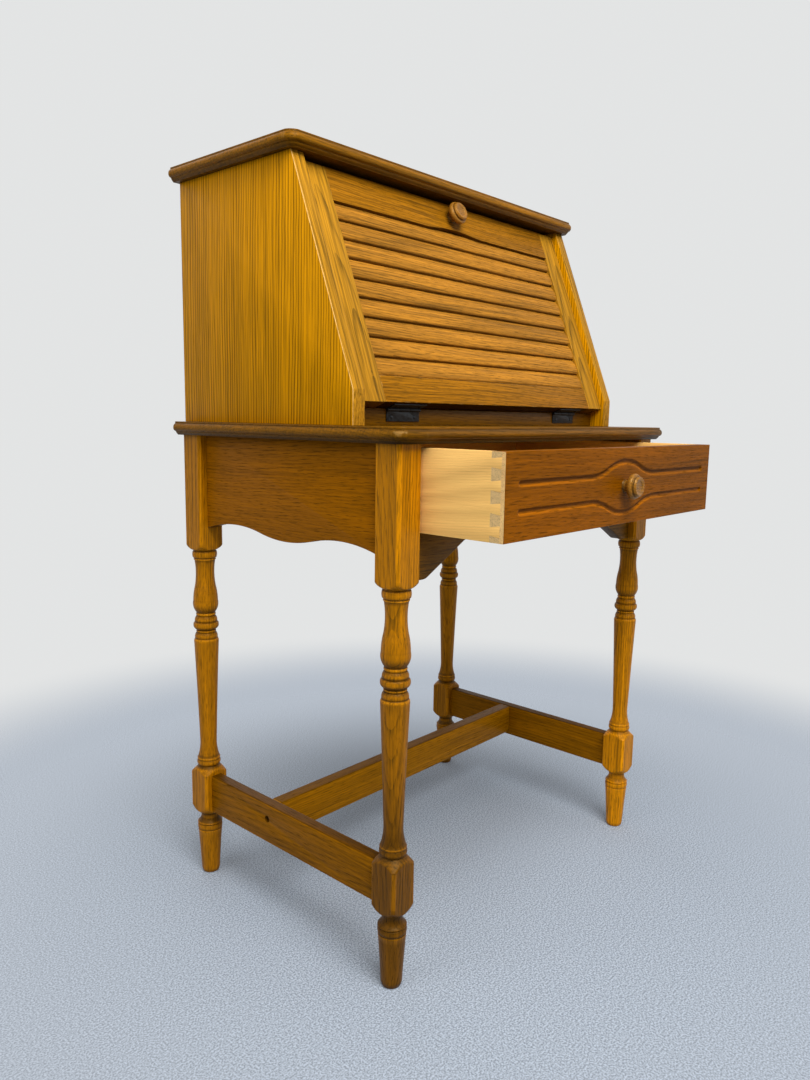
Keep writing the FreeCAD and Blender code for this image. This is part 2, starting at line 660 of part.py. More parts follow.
def leg(name, x_sign, y_sign):
    """One leg, about its own axis, with its mortises."""
    base = (f"{x_sign} * leg_half_x", f"{y_sign} * leg_half_y + frame_shift", "0")
    body = new_body(name, (base, None))
    extrude(body, "Pad", "XY", ("0", "leg_length"), [stock_outline()])
    cut_profile(body, upper_profile())
    cut_profile(body, foot_profile())
    half = "leg_square / 2"
    # Side apron and side stretcher enter through the face that looks along the side
    side_centre = "leg_square / 2 - apron_setback - apron_thickness / 2"
    x_span = across(x_sign, f"{side_centre} - apron_tenon_thickness / 2",
                    f"{side_centre} + apron_tenon_thickness / 2")
    y_span = across(y_sign, f"-{half}", f"apron_tenon_length - {half}")
    cut_block(body, x_span, y_span, SIDE_TENON)
    low_centre = "leg_square / 2 - stretcher_setback - stretcher_thickness / 2"
    x_span = across(x_sign, f"{low_centre} - stretcher_tenon_thickness / 2",
                    f"{low_centre} + stretcher_tenon_thickness / 2")
    y_span = across(y_sign, f"-{half}", f"stretcher_tenon_length - {half}")
    cut_block(body, x_span, y_span, STRETCHER_TENON)
    # Front or back apron enters through the face that looks along the front
    y_span = across(y_sign, f"{side_centre} - apron_tenon_thickness / 2",
                    f"{side_centre} + apron_tenon_thickness / 2")
    x_span = across(x_sign, f"-{half}", f"apron_tenon_length - {half}")
    cut_block(body, x_span, y_span, FRONT_TENON if y_sign < 0 else BACK_TENON)
    return keep(name, body)


# Aprons and stretchers

def side_apron(name, sign):
    """A side apron with a wavy lower edge and a tenon at each end."""
    body = new_body(name)
    x_span = across(sign, "apron_inner_x", "apron_outer_x")
    half_run = "side_apron_wave_run / 2"
    half_up = "side_apron_base + side_apron_wave_rise / 2"
    end_height = "side_apron_base + side_apron_wave_rise - side_apron_end_drop"
    radius = "side_apron_radius"
    outline = [
        ("-leg_inner_y", "leg_length", None),
        ("-leg_inner_y", end_height, (radius, 1)),
        (f"-{half_run}", half_up, (radius, -1)),
        (half_run, half_up, (radius, 1)),
        ("leg_inner_y", end_height, None),
        ("leg_inner_y", "leg_length", None),
    ]
    extrude(body, "Pad", "YZ", x_span, [outline])
    centre = f"{sign} * (apron_inner_x + apron_outer_x) / 2"
    tenon_x = (f"{centre} - apron_tenon_thickness / 2", f"{centre} + apron_tenon_thickness / 2")
    for y_sign in (-1, 1):
        y_span = across(y_sign, "leg_inner_y", "leg_inner_y + apron_tenon_length")
        add_block(body, tenon_x, y_span, SIDE_TENON)
    return keep(name, body)


def add_long_tenons(body, y_centre, z_span):
    """Tenons at both ends of an apron that runs along the front or back."""
    y_span = (f"{y_centre} - apron_tenon_thickness / 2", f"{y_centre} + apron_tenon_thickness / 2")
    for x_sign in (-1, 1):
        x_span = across(x_sign, "leg_inner_x", "leg_inner_x + apron_tenon_length")
        add_block(body, x_span, y_span, z_span)


def front_apron():
    """The rail under the drawer, with a sloping bracket at each leg."""
    body = new_body("front_apron")
    half = [("leg_inner_x", "drawer_rail_top"), ("leg_inner_x", "bracket_base"),
            ("bracket_outer", "bracket_base"), ("bracket_inner", "front_apron_base")]
    mirrored = [(f"-{x}", z) for x, z in reversed(half)]
    extrude(body, "Pad", "XZ", ("-apron_outer_y", "-apron_inner_y"), [straight(*half, *mirrored)])

    def bracket_corner(middle, edge):
        along_y = near(edge.Length, "apron_thickness")
        slope_low = near(abs(middle.x), "bracket_outer") and near(middle.z, "bracket_base")
        slope_high = near(abs(middle.x), "bracket_inner") and near(middle.z, "front_apron_base")
        return along_y and (slope_low or slope_high)

    round_edges(body, "front_apron_round", bracket_corner)
    add_long_tenons(body, "-(apron_outer_y + apron_inner_y) / 2", FRONT_TENON)
    return keep("front_apron", body)


def back_apron():
    """The plain apron behind the drawer."""
    body = new_body("back_apron")
    add_block(body, ("-leg_inner_x", "leg_inner_x"), ("apron_inner_y", "apron_outer_y"),
              ("drawer_rail_top", "leg_length"))
    add_long_tenons(body, "(apron_outer_y + apron_inner_y) / 2", BACK_TENON)
    return keep("back_apron", body)


def side_stretcher(name, sign):
    """A side stretcher between the lower blocks of two legs."""
    body = new_body(name)
    x_span = across(sign, "stretcher_inner_x", "stretcher_outer_x")
    add_block(body, x_span, ("-leg_inner_y", "leg_inner_y"), ("stretcher_base", "stretcher_top"))

    def upper_edge(middle, edge):
        return near(middle.z, "stretcher_top") and near(edge.Length, "2 * leg_inner_y")

    round_edges(body, "stretcher_ease", upper_edge)
    centre = f"{sign} * (stretcher_inner_x + stretcher_outer_x) / 2"
    tenon_x = (f"{centre} - stretcher_tenon_thickness / 2", f"{centre} + stretcher_tenon_thickness / 2")
    for y_sign in (-1, 1):
        y_span = across(y_sign, "leg_inner_y", "leg_inner_y + stretcher_tenon_length")
        add_block(body, tenon_x, y_span, STRETCHER_TENON)
    mortise_x = across(sign, "stretcher_inner_x", "stretcher_inner_x + cross_tenon_length")
    cut_block(body, mortise_x, *CROSS_TENON)
    hole = ("cross_offset", "cross_base + cross_hole_height", "cross_hole_radius")
    sunk = across(sign, "stretcher_outer_x - cross_hole_depth", "stretcher_outer_x")
    extrude_circles(body, "Pocket", "YZ", sunk, [hole])
    return keep(name, body)


def centre_stretcher():
    """The bar of the H, with a tenon at each end."""
    body = new_body("stretcher_centre")
    y_span = ("cross_offset - cross_thickness / 2", "cross_offset + cross_thickness / 2")
    add_block(body, ("-stretcher_inner_x", "stretcher_inner_x"), y_span, ("cross_base", "stretcher_top"))

    def upper_edge(middle, edge):
        return near(middle.z, "stretcher_top") and near(edge.Length, "2 * stretcher_inner_x")

    round_edges(body, "stretcher_ease", upper_edge)
    for sign in (-1, 1):
        x_span = across(sign, "stretcher_inner_x", "stretcher_inner_x + cross_tenon_length")
        add_block(body, x_span, *CROSS_TENON)
    return keep("stretcher_centre", body)


# Moulded boards

def clipped_outline(half_x, front, back, inset):
    """A board's outline with its two front corners cut off, drawn in by an inset except at the back."""
    clip = f"(corner_clip - (2 - sqrt(2)) * ({inset}))"
    x = f"({half_x} - ({inset}))"
    y = f"({front} + ({inset}))"
    right = [(f"{x} - {clip}", y), (x, f"{y} + {clip}"), (x, back)]
    left = [(f"-{x}", back), (f"-{x}", f"{y} + {clip}"), (f"{clip} - {x}", y)]
    return straight(*right, *left)


def moulded_board(label, half_x, front, back, base, thickness):
    """A board whose front and ends slope out to a nose, with a small step under the upper face."""
    body = new_body(label)
    step_height = f"{base} + {thickness} - moulding_quirk_height"
    nose_height = f"{base} + {thickness} - moulding_nose_drop"
    levels = [
        (base, "moulding_slant"),
        (f"{nose_height} - moulding_nose_round", "moulding_nose_ease"),
        (nose_height, "0"),
        (step_height, "moulding_nose_lean"),
    ]
    sections = []
    for height, inset in levels:
        sketch = new_sketch(body, "XY", height)
        draw_outline(sketch, clipped_outline(half_x, front, back, inset))
        sections.append(sketch)
    loft = body.newObject("PartDesign::AdditiveLoft", f"{label}_edge")
    loft.Profile = (sections[0], [""])
    loft.Sections = [(sketch, [""]) for sketch in sections[1:]]
    loft.Ruled = True
    upper = clipped_outline(half_x, front, back, "moulding_quirk")
    extrude(body, "Pad", "XY", (step_height, f"{base} + {thickness}"), [upper])
    return body


def desk_top():
    """The desk top and the cleats under it."""
    keep("desk_top", moulded_board("desk_top", "top_half_x", "top_front", "top_back", "leg_length",
                                   "top_thickness"))
    for side, sign in SIDES:
        x_span = across(sign, "apron_inner_x - cleat_thickness", "apron_inner_x")
        y_span = ("-(leg_inner_y - cleat_margin)", "leg_inner_y - cleat_margin")
        name = f"top_cleat_{side}"
        keep(name, board(name, x_span, y_span, ("leg_length - cleat_height", "leg_length")))


def drawer_runner(name, sign):
    """An L-shaped runner: a ledge under the drawer's side and a guide beside it."""
    body = new_body(name)
    ledge_x = across(sign, "guide_face - runner_ledge", "guide_face")
    ledge_z = ("runner_top - runner_thickness", "runner_top")
    add_block(body, ledge_x, ("-apron_inner_y", "apron_inner_y"), ledge_z)
    guide_x = across(sign, "guide_face", "apron_inner_x")
    guide_z = ("runner_top - runner_thickness", "runner_top + guide_height")
    add_block(body, guide_x, ("-leg_inner_y", "leg_inner_y"), guide_z)
    return keep(name, body)


# Cabinet

def side_panel(name, sign):
    """A side panel with its sloping front edge and a rebate for the back."""
    body = new_body(name)
    outline = straight(
        ("cabinet_back_y", "desk_surface"), ("cabinet_front_low", "desk_surface"),
        ("cabinet_front_low", "slope_start"), ("cabinet_front_high", "cabinet_top_z"),
        ("cabinet_back_y", "cabinet_top_z"))
    extrude(body, "Pad", "YZ", across(sign, "panel_inner_x", "panel_outer_x"), [outline])

    def slope_corner(middle, edge):
        return near(middle.z, "slope_start") and near(edge.Length, "panel_thickness")

    round_edges(body, "panel_nose_round", slope_corner)
    rebate_x = across(sign, "panel_inner_x", "panel_inner_x + back_rebate")
    cut_block(body, rebate_x, ("back_panel_y", "cabinet_back_y"), ("desk_surface", "cabinet_top_z"))
    return keep(name, body)


def cabinet():
    """The carcase above the desk top, with its pigeonholes."""
    for side, sign in SIDES:
        side_panel(f"side_panel_{side}", sign)
    crown = moulded_board("cabinet_top", "crown_half_x", "crown_front", "crown_back", "cabinet_top_z",
                          "crown_thickness")
    keep("cabinet_top", crown)
    inside_x = ("-panel_inner_x", "panel_inner_x")
    keep("cabinet_bottom", board("cabinet_bottom", inside_x, ("rail_back", "back_panel_y"),
                                 ("desk_surface", "cabinet_floor")))
    back_x = ("-(panel_inner_x + back_rebate)", "panel_inner_x + back_rebate")
    keep("cabinet_back", board("cabinet_back", back_x, ("back_panel_y", "cabinet_back_y"),
                               ("desk_surface", "cabinet_top_z")))
    keep("interior_shelf", board("interior_shelf", inside_x, ("back_panel_y - shelf_depth", "back_panel_y"),
                                 ("shelf_base", "shelf_base + shelf_thickness")))
    for side, sign in SIDES:
        centre = f"{sign} * divider_spacing / 2"
        x_span = (f"{centre} - divider_thickness / 2", f"{centre} + divider_thickness / 2")
        y_span = ("back_panel_y - divider_depth", "back_panel_y")
        name = f"divider_{side}"
        keep(name, board(name, x_span, y_span, ("cabinet_floor", "shelf_base")))
    for side, sign in SIDES:
        body = new_body(f"flap_stop_{side}", FLAP_FRAME)
        x_span = across(sign, "panel_inner_x - stop_section", "panel_inner_x")
        y_span = ("hinge_inset + stop_gap", "hinge_inset + stop_gap + stop_section")
        add_block(body, x_span, y_span, ("stop_margin_low", "flap_length - stop_margin_high"))
        keep(f"flap_stop_{side}", body)


# Hinges

def hinge_knuckles(sign):
    """Where the knuckles of one hinge lie along X: the flap's in the middle, the rail's at the ends."""
    centre = f"{sign} * hinge_centre"
    inner = "hinge_middle_knuckle / 2"
    outer_start = "(hinge_middle_knuckle / 2 + hinge_knuckle_gap)"
    middle = (f"{centre} - {inner}", f"{centre} + {inner}")
    ends = [(f"{centre} - hinge_length / 2", f"{centre} - {outer_start}"),
            (f"{centre} + {outer_start}", f"{centre} + hinge_length / 2")]
    return middle, ends


def rail_leaf(side, sign):
    """The leaf on the hinge rail: a plate, two end knuckles and a notch for the other leaf."""
    name = f"hinge_rail_leaf_{side}"
    base = ("0", "hinge_axis_y + frame_shift", "hinge_axis_z")
    body = new_body(name, (base, None))
    middle, ends = hinge_knuckles(sign)
    whole = (ends[0][0], ends[1][1])
    plate_y = ("hinge_offset - hinge_leaf", "hinge_offset")
    add_block(body, whole, plate_y, ("-hinge_leaf_reach", "0"))
    notch = (ends[0][1], ends[1][0])
    notch_z = ("-(hinge_knuckle_radius + hinge_notch_gap)", "0")
    cut_block(body, notch, plate_y, notch_z)
    for span in ends:
        extrude_circles(body, "Pad", "YZ", span, [("0", "0", "hinge_knuckle_radius")])
    extrude_circles(body, "Pocket", "YZ", whole, [("0", "0", "hinge_pin_radius")])
    return keep(name, body)


def flap_leaf(side, sign):
    """The leaf under the flap: a plate, one middle knuckle and a notch at each end."""
    name = f"hinge_flap_leaf_{side}"
    body = new_body(name, FLAP_FRAME)
    middle, ends = hinge_knuckles(sign)
    whole = (ends[0][0], ends[1][1])
    plate_z = ("hinge_offset - hinge_leaf", "hinge_offset")
    add_block(body, whole, ("-hinge_leaf_reach", "0"), plate_z)
    for notch in ((ends[0][0], middle[0]), (middle[1], ends[1][1])):
        cut_block(body, notch, ("-(hinge_knuckle_radius + hinge_notch_gap)", "0"), plate_z)
    extrude_circles(body, "Pad", "YZ", middle, [("0", "0", "hinge_knuckle_radius")])
    extrude_circles(body, "Pocket", "YZ", middle, [("0", "0", "hinge_bore_radius")])
    return keep(name, body)


def hinge_pin(side, sign):
    """The pin through all three knuckles of one hinge."""
    name = f"hinge_pin_{side}"
    body = new_body(name, (("0", "hinge_axis_y + frame_shift", "hinge_axis_z"), None))
    middle, ends = hinge_knuckles(sign)
    extrude_circles(body, "Pad", "YZ", (ends[0][0], ends[1][1]), [("0", "0", "hinge_pin_radius")])
    return keep(name, body)


def hinges():
    """Two butt hinges, and the rail that carries them."""
    for side, sign in SIDES:
        rail_leaf(side, sign)
        flap_leaf(side, sign)
        hinge_pin(side, sign)
    keep("hinge_rail", board("hinge_rail", ("-panel_inner_x", "panel_inner_x"), ("rail_face", "rail_back"),
                             ("desk_surface", "cabinet_floor")))


# Flap

def flap_stile(name, sign):
    """A side member of the flap, with a rebate for the panel and mortises for the rails."""
    body = new_body(name, FLAP_FRAME)
    add_block(body, across(sign, "stile_inner", "flap_half"), ("flap_outer", "hinge_inset"),
              ("hinge_offset", "flap_length"))
    rebate_x = across(sign, "stile_inner", "stile_inner + flap_rebate")
    rebate_z = ("flap_field_low - flap_rebate", "flap_field_high + flap_rebate")
    cut_block(body, rebate_x, ("flap_panel_face", "hinge_inset"), rebate_z)
    mortise_x = across(sign, "stile_inner", "stile_inner + flap_tenon_length")
    for z_span in (FLAP_LOW_TENON, FLAP_HIGH_TENON):
        cut_block(body, mortise_x, ("flap_tenon_front", "flap_tenon_back"), z_span)
    return keep(name, body)


def add_flap_tenons(body, z_span):
    """Tenons at both ends of a flap rail."""
    for sign in (-1, 1):
        x_span = across(sign, "stile_inner", "stile_inner + flap_tenon_length")
        add_block(body, x_span, ("flap_tenon_front", "flap_tenon_back"), z_span)


def flap_bottom_rail():
    """The lower member, over the hinges."""
    body = new_body("flap_bottom_rail", FLAP_FRAME)
    inside = ("-stile_inner", "stile_inner")
    add_block(body, inside, ("flap_outer", "hinge_inset"), ("hinge_offset", "flap_field_low"))
    cut_block(body, inside, ("flap_panel_face", "hinge_inset"),
              ("flap_field_low - flap_rebate", "flap_field_low"))
    add_flap_tenons(body, FLAP_LOW_TENON)
    return keep("flap_bottom_rail", body)


def flap_top_rail():
    """The upper member: a lip with a shallow arch hangs in front of the last slat."""
    body = new_body("flap_top_rail", FLAP_FRAME)
    arch = bow("0", "flap_field_high", "flap_arch_run", "flap_arch_rise", "flap_arch_radius")
    outline = [("-stile_inner", "flap_length", None), ("-stile_inner", "flap_field_high", None), *arch,
               ("stile_inner", "flap_field_high", None), ("stile_inner", "flap_length", None)]
    extrude(body, "Pad", "XZ", ("flap_outer", "hinge_inset"), [outline])
    cut_block(body, ("-stile_inner", "stile_inner"), ("flap_outer + flap_lip", "hinge_inset"),
              ("flap_field_high", "flap_field_high + flap_rebate"))
    add_flap_tenons(body, FLAP_HIGH_TENON)
    socket = ("0", KNOB_ON_FLAP, "knob_spigot_radius")
    extrude_circles(body, "Pocket", "XZ", ("flap_outer", "flap_outer + knob_spigot_length"), [socket])
    return keep("flap_top_rail", body)


def flap_slat(number):
    """One fixed slat: a rounded nose below and a full face that leans in to the next slat."""
    name = f"flap_slat_{number}"
    body = new_body(name, FLAP_FRAME)
    low = f"flap_field_low + {number - 1} * slat_pitch"
    high = f"flap_field_low + {number} * slat_pitch - slat_gap"
    shoulder = ("slat_face + slat_nose", low)
    nose = ("slat_face", f"{low} + slat_nose")
    upper = ("flap_panel_face - slat_top", high)
    last = number == SLAT_COUNT
    top = f"{high} + slat_tail" if last else high
    tail = [("flap_panel_face - slat_top", top, None)] if last else []
    outline = [
        ("flap_panel_face", low, None),
        (*shoulder, ("slat_nose", 1)),
        (*nose, bend_by_swell(nose, upper, "slat_swell", 1)),
        (*upper, None),
        *tail,
        ("flap_panel_face", top, None),
    ]
    extrude(body, "Pad", "YZ", ("-stile_inner", "stile_inner"), [outline])
    return keep(name, body)


def flap():
    """The flap's frame, slats, writing panel and knob."""
    for side, sign in SIDES:
        flap_stile(f"flap_stile_{side}", sign)
    flap_bottom_rail()
    flap_top_rail()
    for number in range(1, SLAT_COUNT + 1):
        flap_slat(number)
    panel = new_body("flap_panel", FLAP_FRAME)
    reach = "stile_inner + flap_rebate"
    panel_z = ("flap_field_low - flap_rebate", "flap_field_high + flap_rebate")
    add_block(panel, (f"-({reach})", reach), ("flap_panel_face", "hinge_inset"), panel_z)
    keep("flap_panel", panel)
    knob("flap_knob", (on_flap("0", "flap_outer", KNOB_ON_FLAP), ((1, 0, 0), "90 deg - slant")))


# Knobs

def knob(name, frame):
    """A turned knob: spigot, waist, flared neck, thin rim and a face that rises to a low crown."""
    body = new_body(name, frame)
    outline = [
        ("0", "-knob_spigot_length", None),
        ("knob_spigot_radius", "-knob_spigot_length", None),
        ("knob_spigot_radius", "0", None),
        ("knob_base_radius", "0", None),
        ("knob_waist_radius", "knob_waist_height", None),
        ("knob_rim_radius", "knob_flare_height", None),
        ("knob_rim_radius", "knob_rim_height", None),
        ("knob_face_radius", "knob_face_height", None),
        ("knob_crown_radius", "knob_height", None),
        ("0", "knob_height", None),
    ]
    turn_about_axis(body, "Revolution", outline)
    return keep(name, body)


# Drawer

def tail_corners(number):
    """The four corners of one dovetail, from the lower root round its end to the upper root."""
    centre = f"({number} + 0.5) * tail_pitch"
    root = "drawer_front_thickness"
    return [(root, f"{centre} - tail_root / 2"), ("drawer_lap", f"{centre} - tail_tip / 2"),
            ("drawer_lap", f"{centre} + tail_tip / 2"), (root, f"{centre} + tail_root / 2")]


def drawer_front():
    """The front, with blind sockets for the dovetails, a groove for the bottom and two routed lines."""
    body = new_body("drawer_front", DRAWER_FRAME)
    add_block(body, ("-drawer_half", "drawer_half"), ("0", "drawer_front_thickness"), ("0", "drawer_height"))
    sockets = [straight(*tail_corners(number)) for number in range(TAIL_COUNT)]
    for side, sign in SIDES:
        extrude(body, "Pocket", "YZ", across(sign, "drawer_inner", "drawer_half"), sockets)
    cut_block(body, ("-drawer_inner", "drawer_inner"),
              ("drawer_front_thickness - drawer_groove", "drawer_front_thickness"),
              ("drawer_bottom_height", "drawer_floor"))
    lines = [routed_line(1), routed_line(-1)]
    extrude(body, "Pocket", "XZ", ("0", "line_depth"), lines)
    socket = ("0", "drawer_height / 2", "knob_spigot_radius")
    extrude_circles(body, "Pocket", "XZ", ("0", "knob_spigot_length"), [socket])
    return keep("drawer_front", body)


def routed_line(sign):
    """The outline of a line cut along the front, straight at its ends and bowed around the knob."""
    middle = f"line_height + {sign} * line_spread / 2"
    edges = []
    for edge in (-1, 1):
        base = f"{middle} + {sign * edge} * line_width / 2"
        joint_x = f"line_bow_run / 2 + {edge} * line_lean_x"
        joint_z = f"{middle} + {sign} * line_bow_rise / 2 + {sign * edge} * line_lean_z"
        hollow = (f"line_bow_radius - {edge} * line_width / 2", -sign)
        crown = (f"line_bow_radius + {edge} * line_width / 2", sign)
        edges.append([
            ("-line_end", base, None), ("-line_bow_run", base, hollow), (f"-({joint_x})", joint_z, crown),
            (joint_x, joint_z, hollow), ("line_bow_run", base, None), ("line_end", base, None),
        ])
    lower, upper = edges
    return lower + run_backwards(upper)


def run_backwards(points):
    """An open run of points in the opposite order, with each arc still on its own stretch."""
    bends = [bend for x, y, bend in points[:-1]]
    flipped = [bend and (bend[0], -bend[1]) for bend in reversed(bends)] + [None]
    return [(x, y, bend) for (x, y, old), bend in zip(reversed(points), flipped)]


def drawer_side(name, sign):
    """A side with dovetails at its front end, a groove for the bottom and a housing for the back."""
    body = new_body(name, DRAWER_FRAME)
    comb = [corner for number in range(TAIL_COUNT) for corner in tail_corners(number)]
    outline = straight(("drawer_front_thickness", "0"), *comb, ("drawer_front_thickness", "drawer_height"),
                       ("drawer_depth", "drawer_height"), ("drawer_depth", "0"))
    extrude(body, "Pad", "YZ", across(sign, "drawer_inner", "drawer_half"), [outline])
    cut_block(body, across(sign, "drawer_inner", "drawer_inner + drawer_groove"),
              ("drawer_front_thickness - drawer_groove", "drawer_depth"),
              ("drawer_bottom_height", "drawer_floor"))
    cut_block(body, across(sign, "drawer_inner", "drawer_inner + drawer_back_housing"), DRAWER_BACK_Y,
              DRAWER_BACK_Z)
    return keep(name, body)


def drawer():
    """The drawer, standing partly open."""
    drawer_front()
    knob_base = ("0", "drawer_face + frame_shift", "drawer_base + drawer_height / 2")
    knob("drawer_knob", (knob_base, ((1, 0, 0), "90 deg")))
    for side, sign in SIDES:
        drawer_side(f"drawer_side_{side}", sign)
    back = new_body("drawer_back", DRAWER_FRAME)
    reach = "drawer_inner + drawer_back_housing"
    add_block(back, (f"-({reach})", reach), DRAWER_BACK_Y, DRAWER_BACK_Z)
    keep("drawer_back", back)
    bottom = new_body("drawer_bottom", DRAWER_FRAME)
    reach = "drawer_inner + drawer_groove"
    add_block(bottom, (f"-({reach})", reach),
              ("drawer_front_thickness - drawer_groove", "drawer_depth - drawer_back_thickness"),
              ("drawer_bottom_height", "drawer_floor"))
    keep("drawer_bottom", bottom)


# Build, test and write

def build():
    """Make every piece."""
    fill_sheet()
    for y_name, y_sign in (("front", -1), ("back", 1)):
        for side, sign in SIDES:
            leg(f"leg_{y_name}_{side}", sign, y_sign)
    for side, sign in SIDES:
        side_apron(f"side_apron_{side}", sign)
    front_apron()
    back_apron()
    for side, sign in SIDES:
        side_stretcher(f"stretcher_{side}", sign)
    centre_stretcher()
    desk_top()
    for side, sign in SIDES:
        drawer_runner(f"drawer_runner_{side}", sign)
    cabinet()
    hinges()
    flap()
    drawer()
    doc.recompute()


def test():
    """Stop if a feature failed, a cut took nothing away or a piece is not a sound solid."""
    faults = [item.Label for item in doc.Objects if {"Invalid", "Error"} & set(item.State)]
    for item in doc.Objects:
        if item.TypeId in ("PartDesign::Pocket", "PartDesign::Groove"):
            if item.BaseFeature.Shape.Volume - item.Shape.Volume < 1:
                faults.append(f"{item.Label} cuts nothing")
    for name, thing in nodes.items():
        if thing.Shape.isNull() or not thing.Shape.isValid() or not thing.Shape.Solids:
            faults.append(f"{name} is not a sound solid")
    if faults:
        raise RuntimeError(", ".join(faults))


def write():
    """Write each piece to a file of its own name."""
    os.makedirs("parts", exist_ok=True)
    for name, thing in nodes.items():
        thing.Shape.exportStep(f"parts/{name}.step")
    print(len(nodes), "pieces written")


build()
test()
write()
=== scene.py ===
"""Looks of a slant-front oak writing desk with turned legs, a slatted flap and a dovetailed drawer.

Every piece is in metres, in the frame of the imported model: X along the front, the front faces -Y
and Z is up from the floor.
"""
import json
import math

import bmesh
import bpy
from bpy.props import FloatProperty, FloatVectorProperty, IntProperty, PointerProperty
from mathutils import Matrix, Vector


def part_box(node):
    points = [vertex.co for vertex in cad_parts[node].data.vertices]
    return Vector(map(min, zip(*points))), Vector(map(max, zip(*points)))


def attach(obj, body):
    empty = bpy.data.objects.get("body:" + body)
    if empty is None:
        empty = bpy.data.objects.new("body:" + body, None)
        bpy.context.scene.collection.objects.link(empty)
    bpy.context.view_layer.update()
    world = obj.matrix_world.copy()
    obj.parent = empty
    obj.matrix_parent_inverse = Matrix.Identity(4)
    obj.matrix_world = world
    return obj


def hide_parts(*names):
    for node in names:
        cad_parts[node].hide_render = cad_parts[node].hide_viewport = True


bl_info = {
    "name": "Slant-front writing desk",
    "version": (1, 0, 0),
    "blender": (4, 5, 0),
    "location": "View3D > Sidebar > Desk",
    "description": "Dresses the packed desk with eased edges, turned profiles, oak, pine and iron",
    "category": "Object",
}

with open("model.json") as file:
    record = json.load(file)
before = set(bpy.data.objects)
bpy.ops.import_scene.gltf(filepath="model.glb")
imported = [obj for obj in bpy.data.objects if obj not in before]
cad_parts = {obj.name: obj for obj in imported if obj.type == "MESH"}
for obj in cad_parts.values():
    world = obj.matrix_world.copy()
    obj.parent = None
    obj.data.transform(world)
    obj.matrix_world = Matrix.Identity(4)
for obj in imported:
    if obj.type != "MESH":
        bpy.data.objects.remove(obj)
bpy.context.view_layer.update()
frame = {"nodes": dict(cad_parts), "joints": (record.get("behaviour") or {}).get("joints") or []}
HINGE = next(joint for joint in frame["joints"] if joint["name"] == "flap_hinge")
HINGE_AXIS = Vector(HINGE["pos_m"])
MM = 0.001
SIDES = {"left": -1, "right": 1}
SLATS = tuple(f"flap_slat_{number}" for number in range(1, 10))

# The closed flap leans back from upright by as much as it opens past a right angle
SLANT = math.radians(HINGE["range_deg"][1] - 90)

# Edges that are rounded more or less than the other boards' edges
STRETCHER_EASE = 0.0022
PANEL_EASE = 0.0008
BOTTOM_RAIL_EASE = 0.0012
LEAF_EASE = 0.00025
PIN_EASE = 0.0002
DRAWER_EASE = 0.0003
FRONT_EASE = 0.0006

# Sunk hole of a side stretcher: height, the rim that gets painted shade, screw, and the area of its largest
# face
SUNK_HOLE = 0.030
HOLE_RIM = 0.0085
HOLE_SCREW = 0.0042
SMALL_FACE = 0.0001

# Hinge leaf: reach from the pin, face, the screws' place along the reach and how far they stand out
LEAF_REACH = 0.0154
LEAF_FACE = 0.0011
SCREW_ROW = 0.62
SCREW_PROUD = 0.0003

# Drawer front: wood before the dovetails, routed lines and squares of the face
LAP = 0.006
LINE_DEPTH = 0.0025
LINE_HALF = 0.0042
LINE_MIDDLE = 0.0505
LINE_SPREAD = 0.033
LINE_MARGIN = 0.0305
LINE_BOW = 0.090
LINE_RISE = 0.018
LINE_BOW_RADIUS = (LINE_BOW ** 2 + LINE_RISE ** 2) / (4 * LINE_RISE)
FACE_ACROSS = 280
FACE_UPWARD = 104

# Behind the face of the drawer front: where its edges and its pins start, the knob's socket and the rim
EDGES_FROM = 0.0005
PINS_FROM = 0.003
KNOB_SOCKET = 0.006
FACE_RIM = 0.0004

# Flap, measured from the hinge: up its length, or less than zero towards its front
FLAP_FACE = -0.0205
FLAP_KNOB = 0.3102
SLAT_FOOT = 0.040
SLAT_GAP = 0.0003
SLAT_BACK = -0.0045
SLAT_NOSE = -0.0185
SLAT_HEAD = -0.0131
SLAT_ROUND = 0.005
SLAT_SWELL = 0.0022
SLAT_SHADE = 0.0008

# Steps of a slat's rounded nose and of its full face
NOSE_STEPS = 6
FULL_STEPS = 8

# Faces that look down or up by the Z of their normals, the angle of a sharp edge, and touching points
DOWN = -0.7
UP = 0.6
SHARP = 0.45
TOUCH = 1e-5

# Darkening and lightening multiplied into the wood's colour, mostly painted shade and painted highlight:
# one is nearly black, zero plain wood, and less than zero lighter
# Painted shade on the faces of oak pieces that look down
UNDERSIDE_SHADE = 0.7
# Heavy darkening: painted shade in the knobs' grooves and roots and round the stretchers' sunk holes; it also
# darkens the stretchers' upper faces
HEAVY_DARKENING = 0.8
# Painted shade in a leg's grooves
LEG_GROOVE_SHADE = 0.75
# Painted highlight on the legs' ring edges, and on their arrises painted highlight with some wear
LEG_HIGHLIGHT = -0.3
# Painted light that makes the whole cabinet top lighter
CROWN_PAINTED_LIGHT = -0.3
# Painted shade on the front of the desk top's edge
FRONT_EDGE_SHADE = 0.4
# Painted shade in the gap under the flap
FLAP_GAP_SHADE = 1.1
# Painted shade along the foot of each slat
SLAT_FOOT_SHADE = 0.75
# Painted shade on the knobs' neck and the middle of their dished face
KNOB_NARROW_SHADE = 0.3
# Painted shade in the upper half of the drawer's routed lines and a painted highlight on their lower lip
LINE_SHADE = 0.55
LINE_HIGHLIGHT = -0.5

# Wear: how bare an edge is rubbed
EDGE_WEAR = 0.16
CORNER_WEAR = 0.13
# The side panels' front arris: wear with a painted highlight
PANEL_WEAR_AND_HIGHLIGHT = 0.75

# Colours of rubbed wood, rubbed iron and reflections in the polish
BARE_WOOD = (0.86, 0.69, 0.42)
BARE_IRON = (0.32, 0.30, 0.28)
POLISH = (1.0, 0.74, 0.36, 1.0)

